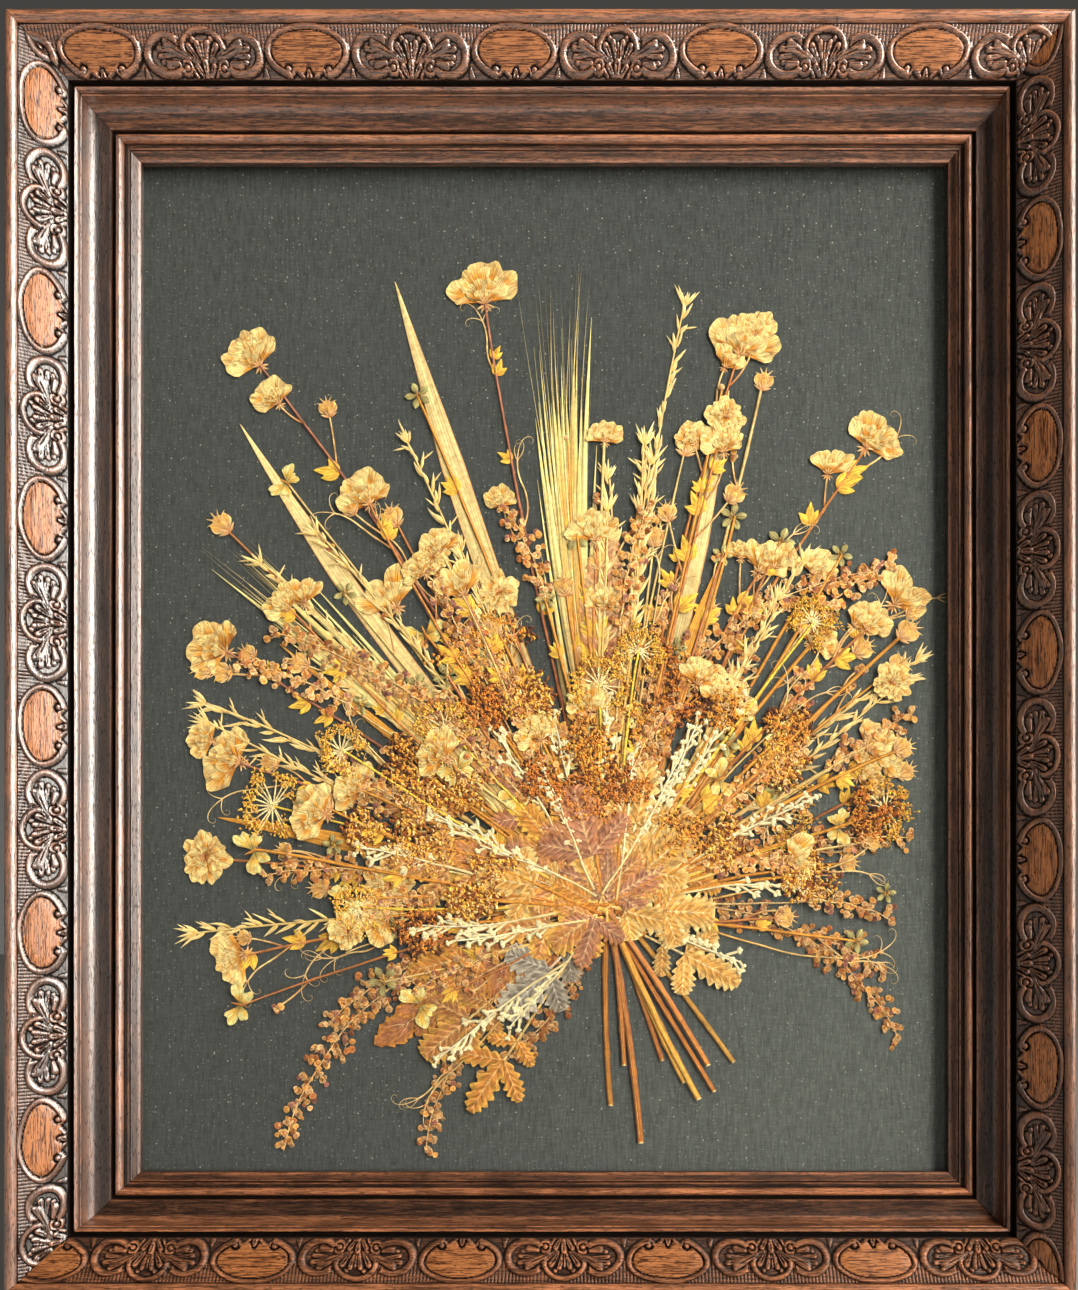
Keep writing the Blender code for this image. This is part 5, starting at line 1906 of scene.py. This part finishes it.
    def leaf(self) -> None:
        """A feathery leaf: pairs of toothed leaflets that overlap along a light midrib.

        The leaflets' lengths follow an egg shape, and they lean further forwards towards the tip.
        Each has a light vein of its own.
        """
        body, tip, edge, light = self.leaf_hues()
        pairs = 7
        t, side = np.repeat(np.linspace(0.10, 0.90, pairs), 2), self.sides(2 * pairs)
        places, headings = self.line.at(np.clip(t + 0.012 * side, 0, 1))
        egg = np.sin(np.pi * (0.12 + 0.80 * t) ** 0.85) ** 0.8
        length = self.half * (0.35 + egg) * self.rng.uniform(0.82, 1.12, 2 * pairs)
        lean = headings - side * (1.15 - 0.62 * t)
        spacing = self.length * 0.8 / (pairs - 1)
        half = np.minimum(0.60 * spacing, 0.42 * length)
        lifts = 0.1 + 0.45 * (1 - t)
        shape = {"bends": side * 0.35, "rises": 0.15}
        blade = {"kind": "toothed", "grid": (19, 7), "root": body, "tip": tip, "edge": edge}
        self.strips(places, lean, length, half, lifts, 0.35, power=1.8, vary=0.14, **blade, **shape)
        self.strips(
            places, lean, 0.86 * length, 0.26, lifts + 0.36, 0.22, "awn", grid=(8, 3), root=light, tip=light,
            vary=0.1, **shape,
        )
        self.strips(*self.line.at(0.86), 0.20 * self.length + 3, spacing * 0.62, 0.1, 0.35, **blade)
        fine = np.linspace(0, 0.94, 40)
        self.stem(*self.line.at(fine), 0.62 - 0.42 * fine, 0.35, light, light, body, 5, 0.62)
        self.leaf_stalk(0.06, 8, 0.8, HUE.straw)

    def calyx(self, place: Array, heading: float, size: float, lift: float) -> None:
        """Five sharp teeth round a small cup."""
        self.strips(
            place, heading + np.linspace(-1.15, 1.15, 5), size, 0.15 * size, lift, 0.35, rises=0.2,
            grid=(6, 5), root=HUE.copper, tip=HUE.straw, edge=HUE.mauve, vary=0.15,
        )

    def trefoil(self, place: Array, heading: float, size: float, lobes: int = 3) -> None:
        """A small yellow leaf of pointed lobes that fan out of one place."""
        self.strips(
            place, heading + np.linspace(-0.62, 0.62, lobes) * (0.5 + lobes / 6),
            size * (1 - 0.28 * np.abs(np.linspace(-1, 1, lobes))), 0.19 * size, 0.25, 0.4, "leaf",
            self.bunch.jitter(lobes, 0.3), rises=0.25, grid=(8, 5), root=HUE.honey, tip=HUE.lemon,
            edge=HUE.gold, vary=0.1,
        )

    def star(self, centre: Array, heading: float, size: float, lift: float = 0.3) -> None:
        """A flat star of five grey-green petals round a dark, crumbly eye."""
        self.strips(
            centre, heading + np.arange(5) * FULL_TURN / 5, size, 0.26 * size, lift, 0.4, "drop",
            grid=(8, 7), root=HUE.brown, tip=HUE.pale_green, edge=HUE.olive, vary=0.15,
        )
        self.crumbs(self.knots(centre, 0.2 * size, 8), 1.3, lift + 0.4, HUE.shade, HUE.gold)

    def lone_star(self) -> None:
        """A star without a stalk."""
        self.star(*self.head_centre(), self.half)

    def blossom(self, centre: Array, heading: float, radius: float, lift: float = 0.1) -> None:
        """A ruffled bloom, in one of three forms.

        A standard is one wide fan with a smaller one before it. A rosette has petals all round. A
        pair is two cupped petals side by side. All are cream at the rim and tan at the root, and
        their folds are darkened towards that tan as painted shade.

        Args:
            centre: its middle, in mm.
            heading: the way it opens, in radians.
            radius: mm.
            lift: mm over the specimen's back.
        """
        rng = self.rng
        form = rng.choice(["standard", "rosette", "pair"], p=[0.5, 0.22, 0.28])
        foot = centre if form == "rosette" else centre - 0.55 * radius * unit(heading)
        self.calyx(foot, heading, 0.34 * radius, lift + 0.75)
        self.calyx(foot, heading + math.pi, 0.36 * radius, lift)
        for number, (turns, size, spread, raised) in enumerate(BLOSSOMS[form]):
            count = len(turns)
            tones = (np.array(tone) * 0.9**number for tone in (HUE.fold, HUE.petal, HUE.petal_edge))
            self.bunch.petals(
                foot, heading + np.array(turns) + self.bunch.jitter(count, 0.12),
                radius * size * rng.uniform(0.9, 1.06, count), spread * rng.uniform(0.88, 1.12, count),
                self.base + lift + raised + np.linspace(0, 0.12, count), 0.12, 0.42, *tones,
            )

    def lone_blossom(self) -> None:
        """A blossom without a stalk."""
        self.blossom(*self.head_centre(), self.half)

    def bud(self, place: Array, heading: float, size: float, lift: float = 0.2) -> None:
        """A closed bud: a ribbed, rounded body held by sepals with sharp, spread teeth.

        Args:
            place: its foot, in mm.
            heading: the way it points, in radians.
            size: its length in mm.
            lift: mm over the specimen's back.
        """
        fan, bends = np.array([-0.30, 0.32, 0.02, -0.1]), np.array([-0.3, 0.3, 0, 0.1])
        reach, half = np.array([0.95, 0.95, 1, 0.72]), np.array([0.30, 0.30, 0.34, 0.16])
        raised = np.array([0, 0.08, 0.2, 0.32])
        self.strips(
            place, heading + fan, reach * size, half * size, lift + raised, 0.5, "drop", bends, grid=(9, 7),
            root=HUE.mauve, tip=HUE.gold, edge=HUE.rim, vary=0.2,
        )
        self.strips(
            place + 0.62 * size * unit(heading), heading + np.linspace(-0.9, 0.9, 5), 0.62 * size,
            0.085 * size, lift + 0.45, 0.3, "awn", np.linspace(-0.5, 0.5, 5), grid=(7, 3), root=HUE.copper,
            tip=HUE.straw,
        )
        self.calyx(place, heading, 0.5 * size, lift + 0.35)

    def tendril(self, place: Array, heading: float, turn: float) -> None:
        """A thin forked tendril: a short stalk, then three whips that end in hooks.

        Args:
            place: its foot, in mm.
            heading: the way it starts, in radians.
            turn: 1 or -1, for the side it curls to.
        """
        tips, ends = self.strips(
            place, heading, 14, 0.42, 0.1, 0.3, "stem", turn * 0.5, grid=(10, 3), root=HUE.straw,
            tip=HUE.rim,
        )
        fan, reach, bends, curls = np.array(
            ((-0.7, 0, 0.6), (17, 24, 15), (-1, 0.6, 1.2), (-3.5, 6, 4))
        )
        self.strips(
            tips, ends + fan, reach, 0.34, 0.15, 0.26, "awn", bends * turn, curls * turn, grid=(36, 3),
            root=HUE.rim, tip=HUE.straw,
        )

    def side_shoot(self, t: float, way: float, length: float) -> tuple[Array, float]:
        """A thin stalk that leaves the main one and curves away.

        Args:
            t: where it leaves.
            way: 1 or -1, for the side.
            length: mm.

        Returns:
            Its tip and the heading there.
        """
        at, turn = self.point(t)
        if abs(at[0]) > self.frame_reach:
            way = -math.copysign(1, turn + 1e-6)
        tips, ends = self.strips(
            at, turn - 0.55 * way, length, 0.5, 0.15, 0.4, "stem", self.rng.uniform(0, 0.9) * way,
            grid=(14, 5), root=HUE.copper, tip=HUE.straw,
        )
        return tips[0], float(ends[0])

    def bloom(self) -> None:
        """A stalk that ends in a blossom, with leaves, side shoots with buds, and a tendril."""
        rng = self.rng
        tones = self.one_of((HUE.orange, HUE.copper), (HUE.honey, HUE.copper), (HUE.rust, HUE.mauve))
        self.thin_stalk(1 - 1.55 * self.half / self.length, 0.95, *tones)
        for t in np.sort(rng.uniform(0.35, 0.92, 4)):
            at, turn = self.point(t)
            self.trefoil(at, turn - rng.choice([-1, 1]) * rng.uniform(0.4, 0.9), rng.uniform(8, 15))
        for t in rng.uniform(0.45, 0.86, 3):
            way = rng.choice([-1, 1])
            end, turn = self.side_shoot(t, way, rng.uniform(16, 34))
            choice = rng.random()
            if choice < 0.40:
                self.bud(end, turn, rng.uniform(8, 12))
            elif choice < 0.68:
                self.blossom(end + 4 * unit(turn), turn, rng.uniform(7.5, 11), 0.15)
            else:
                self.tendril(end, turn, -way)
        self.lone_blossom()

    def wings(self, place: Array, heading: float, size: float) -> None:
        """Two pairs of ribbed pale bracts that spread to both sides of a thin body.

        Args:
            place: its middle, in mm.
            heading: the way it points, in radians.
            size: the bracts' length in mm.
        """
        for turn, reach, spread in ((1.15, 1, 0.95), (2.1, 0.72, 1.05)):
            fan = heading + np.array([-turn, turn])
            self.bunch.petals(
                place, fan, reach * size, spread, self.base + 0.3, 0.2, 0.22, HUE.olive, HUE.gold, HUE.awn
            )
        self.strips(
            place - 0.35 * size * unit(heading), heading, 0.8 * size, 0.07 * size, 0.5, 0.5, grid=(9, 5),
            root=HUE.brown, tip=HUE.honey,
        )

    def with_tendrils(self) -> None:
        """A thin stalk with one tendril at its tip and another part of the way along it."""
        self.thin_stalk(1, self.half, HUE.honey, HUE.straw, near=self.specimen.start - 60)
        way = self.rng.choice([-1, 1])
        self.tendril(*self.point(1), way)
        self.tendril(*self.side_shoot(0.7, way, 12), -way)

    def stalk(self) -> None:
        """A thin stalk that carries something small: a bud, a ball, a star, or a pair of bracts."""
        rng = self.rng
        tones = self.one_of(
            (HUE.orange, HUE.honey), (HUE.copper, HUE.honey), (HUE.rust, HUE.copper), (HUE.gold, HUE.straw)
        )
        self.thin_stalk(1, self.half, *tones)
        for t in (0.55, 0.8):
            at, turn = self.point(t)
            way = rng.choice([-1, 1])
            turn = turn - way * rng.uniform(0.4, 0.8)
            if rng.random() < 0.5:
                self.trefoil(at, turn, rng.uniform(8, 14), rng.integers(3, 6))
            else:
                end, turn = self.side_shoot(t, way, rng.uniform(12, 24))
                places = end + rng.normal(0, 1.5, (5, 2))
                self.valves(places, turn, rng.uniform(1.2, 1.9, 5), rng.uniform(0.1, 0.5, 5), 0.2)
        choice, (tip, turn) = rng.random(), self.point(1)
        if choice < 0.35:
            self.bud(tip, turn, rng.uniform(9, 13))
        elif choice < 0.55:
            self.wings(tip, turn + rng.uniform(-0.6, 0.6), rng.uniform(10, 14))
        elif choice < 0.75:
            self.star(tip, turn, rng.uniform(6, 9))
        elif choice < 0.88:
            self.blossom(tip, turn, rng.uniform(9, 12), 0.15)
        else:
            self.strips(
                tip, turn, 3.8, 1.9, 0.1, 1.1, "disc", grid=(8, 7), root=HUE.copper, tip=HUE.rim,
                edge=HUE.straw,
            )

    def dusty(self) -> None:
        """A white-felted sprig: a stalk with stubby, round-ended lobes in uneven pairs."""
        rng, count = self.rng, int(self.length / 4.5)
        self.thin_stalk(1, 0.7, HUE.straw, HUE.dusty, near=max(2, self.specimen.start - 20))
        t = np.linspace(0.2, 1, count)
        places, headings = self.line.at(t)
        side = self.tossed(count)
        size = self.half * rng.uniform(0.7, 1.4, count) * (0.65 + 0.35 * np.sin(np.pi * t))
        pale = {"root": HUE.straw, "tip": HUE.dusty, "edge": HUE.felt, "vary": 0.14}
        tips, ends = self.strips(
            places, headings - side * rng.uniform(0.3, 0.8, count), size, 0.75, 0.1, 0.4, "stem",
            side * rng.uniform(0, 0.6, count), grid=(6, 3), **pale,
        )
        for turn in (-0.5, 0.1, 0.6):
            reach = size * rng.uniform(0.3, 0.6, count)
            self.strips(
                tips - 1.2 * unit(ends), ends + turn, reach, 1.15, 0.25, 0.5, "drop", grid=(5, 5), **pale
            )


@dataclass
class Bouquet:
    """The whole spray: one piece for each CAD specimen, and one for each scatter between them."""

    gather: Point2 = (34, -132)  # mm from the sight opening's middle
    margin: float = 16  # mm kept clear next to the rails
    whip: float = 30  # mm more, for the length of a tendril
    shorter: float = 0.92  # what one step of shortening leaves
    tie: float = 3.6  # mm by which small pieces miss the gather point
    first_seed: int = 1200
    first_scatter_seed: int = 1700
    finishes: tuple[PlantFinish, ...] = (
        PlantFinish("dry_stem", 2.4, 0.05, 0.55, 0.55, 0.5),
        PlantFinish("dry_blade", 2.6, 0.012, 0.50, 0.35, 0.55),
        PlantFinish("dry_ear", 2.8, 0.04, 0.50, 0.20, 0.6),
        PlantFinish("dry_petal", 1.5, 0.16, 0.60, 0.50, 0.75),
        PlantFinish("dry_seed", 1.2, 0.6, 0.50, 0.40, 0.7),
        PlantFinish("dry_sprig", 2.2, 0.1, 0.42, 0.30, 0.7),
        PlantFinish("dry_floret", 1.4, 0.7, 0.52, 0.45, 0.8),
        PlantFinish("dry_leaf", 0.9, 0.35, 0.55, 0.65, 0.7),
    )

    def fitted(self, specimen: Specimen, origin: Point2) -> Specimen:
        """The specimen, shortened until its tip is clear of the rails.

        Args:
            specimen: one that may be too long.
            origin: the place its line points from, in mm.

        Returns:
            The specimen that fits.
        """
        margin = self.margin + (self.whip if specimen.kind is Kind.TENDRIL else 0)
        low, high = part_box("rail_bottom")[1].z / MM + margin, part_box("rail_top")[0].z / MM - margin
        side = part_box("rail_right")[0].x / MM - margin
        for _ in range(12):
            x, z = Line(origin, specimen).at(1)[0][0]
            if abs(x) < side and low < z < high:
                break
            specimen = replace(specimen, length=self.shorter * specimen.length)
        return specimen

    def build(self) -> None:
        """Builds every specimen at its own height over the cloth."""
        cloth_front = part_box("cloth")[0].y
        low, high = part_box("rail_bottom")[1].z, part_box("rail_top")[0].z
        origin = (self.gather[0], (low + high) / 2 / MM + self.gather[1])
        materials = {finish.name: finish.make() for finish in self.finishes}
        for seed, specimen in enumerate(SPECIMENS, self.first_seed):
            bunch, slot = Bunch(seed), specimen.kind.slot
            base = (cloth_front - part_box(specimen.name)[1].y) / MM
            PlantMaker(bunch, origin, specimen, base).make()
            piece = bunch.piece(f"pressed_{specimen.name}", materials[slot], slot, cloth_front, origin)
            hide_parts(specimen.name)
        for seed, scatter in enumerate(SCATTERS, self.first_scatter_seed):
            bunch, slot = Bunch(seed), scatter.kind.slot
            for specimen in scatter.specimens(bunch.rng):
                start = tuple(np.array(origin) + bunch.rng.normal(0, self.tie, 2))
                PlantMaker(bunch, start, self.fitted(specimen, start), specimen.lift).make()
            bunch.piece(f"pressed_{scatter.name}", materials[slot], slot, cloth_front, origin)


# ---- floor, light, camera


@dataclass(frozen=True)
class Lamp:
    """A soft light that faces the frame's middle, and whether varnish mirrors it."""

    name: str
    place: tuple[float, float, float]  # metres from the frame's middle
    size: Point2  # metres wide and high
    power: float  # watts
    mirrored: bool


@dataclass
class Studio:
    """A pale floor, a tall window light and a key light at the right, a weak fill at the left.

    The camera stands where the photograph's did: below the picture's middle, close in front.
    """

    floor_size: float = 8
    sight_depth: float = 24 * MM
    distance: float = 632 * MM  # from the sight opening's plane to the camera
    across: float = 38 * MM
    drop: float = 437 * MM
    tilt: float = 0.07  # degrees upwards
    focal_pixels: float = 1152.9
    image_height: float = 1290
    sensor: Point2 = (26.5, 36)  # mm, upright
    shift: Point2 = (-0.058, 0.2)
    window: Lamp = Lamp("window_light", (1.25, -0.58, 0.55), (1.15, 1.85), 38, True)
    key: Lamp = Lamp("key_light", (1.3, -1.84, 0.5), (0.6, 3), 80, False)
    fill: Lamp = Lamp("fill_light", (-1.6, -1.2, 0.4), (0.8, 0.8), 2, False)
    light_tint: Colour = (1, 0.95, 0.87)
    world_tint: Colour = (0.84, 0.80, 0.74)
    world_rise: Point2 = (-0.7, 0.5)  # between these heights of the sky it fades
    world_light: Point2 = (0.30, 0.07)  # from the first, below, to the second, above

    def build_floor(self) -> Piece:
        """The floor, level with the frame's bottom edge."""
        half = self.floor_size / 2
        level = CAD_BOX[0].z
        mesh = bpy.data.meshes.new("floor")
        corners = [(-half, -half, level), (half, -half, level), (half, half, level), (-half, half, level)]
        mesh.from_pydata(corners, [], [(0, 1, 2, 3)])
        maker = MaterialMaker("pale_floor", Roughness=0.8)
        cloud = maker.noise(maker.place(), 1.5, 2)
        maker.feed("Base Color", maker.mix(cloud, srgb("d8d6d1"), srgb("e2e0dc")))
        mesh.materials.append(maker.material)
        floor = bpy.data.objects.new("floor", mesh)
        bpy.context.scene.collection.objects.link(floor)
        floor.visible_glossy = floor.visible_transmission = False
        return floor

    def build_light(self, lamp: Lamp) -> Piece:
        """One light.

        Args:
            lamp: its place, size and power.

        Returns:
            The light.
        """
        data = bpy.data.lights.new(lamp.name, "AREA")
        data.shape = "RECTANGLE"
        data.size, data.size_y = lamp.size
        data.energy, data.color = lamp.power, self.light_tint
        light = bpy.data.objects.new(lamp.name, data)
        bpy.context.scene.collection.objects.link(light)
        middle = (CAD_BOX[0] + CAD_BOX[1]) / 2
        light.location = middle + type(middle)(lamp.place)
        light.rotation_euler = (middle - light.location).to_track_quat("-Z", "Y").to_euler()
        light.visible_glossy = lamp.mirrored
        return light

    def keep_off(self, light: Piece, floor: Piece) -> None:
        """Keeps a light off the floor, which it stands so close to that it would bleach it."""
        unlit = bpy.data.collections.new("unlit")
        unlit.objects.link(floor)
        unlit.collection_objects[0].light_linking.link_state = "EXCLUDE"
        light.light_linking.receiver_collection = unlit

    def build_world(self) -> None:
        """Grey light from all round, strongest from below."""
        world = bpy.data.worlds.new("studio")
        world.use_nodes = True
        nodes, links = world.node_tree.nodes, world.node_tree.links
        background = nodes["Background"]
        background.inputs[0].default_value = (*self.world_tint, 1)
        split, span = nodes.new("ShaderNodeSeparateXYZ"), nodes.new("ShaderNodeMapRange")
        links.new(nodes.new("ShaderNodeTexCoord").outputs["Generated"], split.inputs[0])
        links.new(split.outputs["Z"], span.inputs[0])
        for number, value in enumerate((*self.world_rise, *self.world_light), 1):
            span.inputs[number].default_value = value
        links.new(span.outputs[0], background.inputs[1])
        bpy.context.scene.world = world
        bpy.context.scene.view_settings.view_transform = "Standard"

    def build_camera(self) -> None:
        """The camera, at the photograph's place and angle."""
        data = bpy.data.cameras.new("camera")
        data.sensor_fit = "VERTICAL"
        data.sensor_width, data.sensor_height = self.sensor
        data.lens = self.sensor[1] * self.focal_pixels / self.image_height
        data.shift_x, data.shift_y = self.shift
        data.clip_start = 0.01
        camera = bpy.data.objects.new("camera", data)
        camera.location = (self.across, -self.sight_depth - self.distance, -self.drop)
        camera.rotation_euler = (math.radians(90 + self.tilt), 0, 0)
        bpy.context.scene.collection.objects.link(camera)
        bpy.context.scene.camera = camera

    def build(self) -> None:
        """Sets up the whole studio."""
        window, _, _ = (self.build_light(lamp) for lamp in (self.window, self.key, self.fill))
        self.keep_off(window, self.build_floor())
        self.build_world()
        self.build_camera()


def main() -> None:
    """Builds the frame from back to front, then the studio."""
    logging.basicConfig(level=logging.INFO, format="%(message)s")
    Hardware().build()
    Backing().build()
    Bouquet().build()
    CarvedFrame().build()
    Glazing().build()
    Studio().build()


if __name__ == "__main__":
    main()
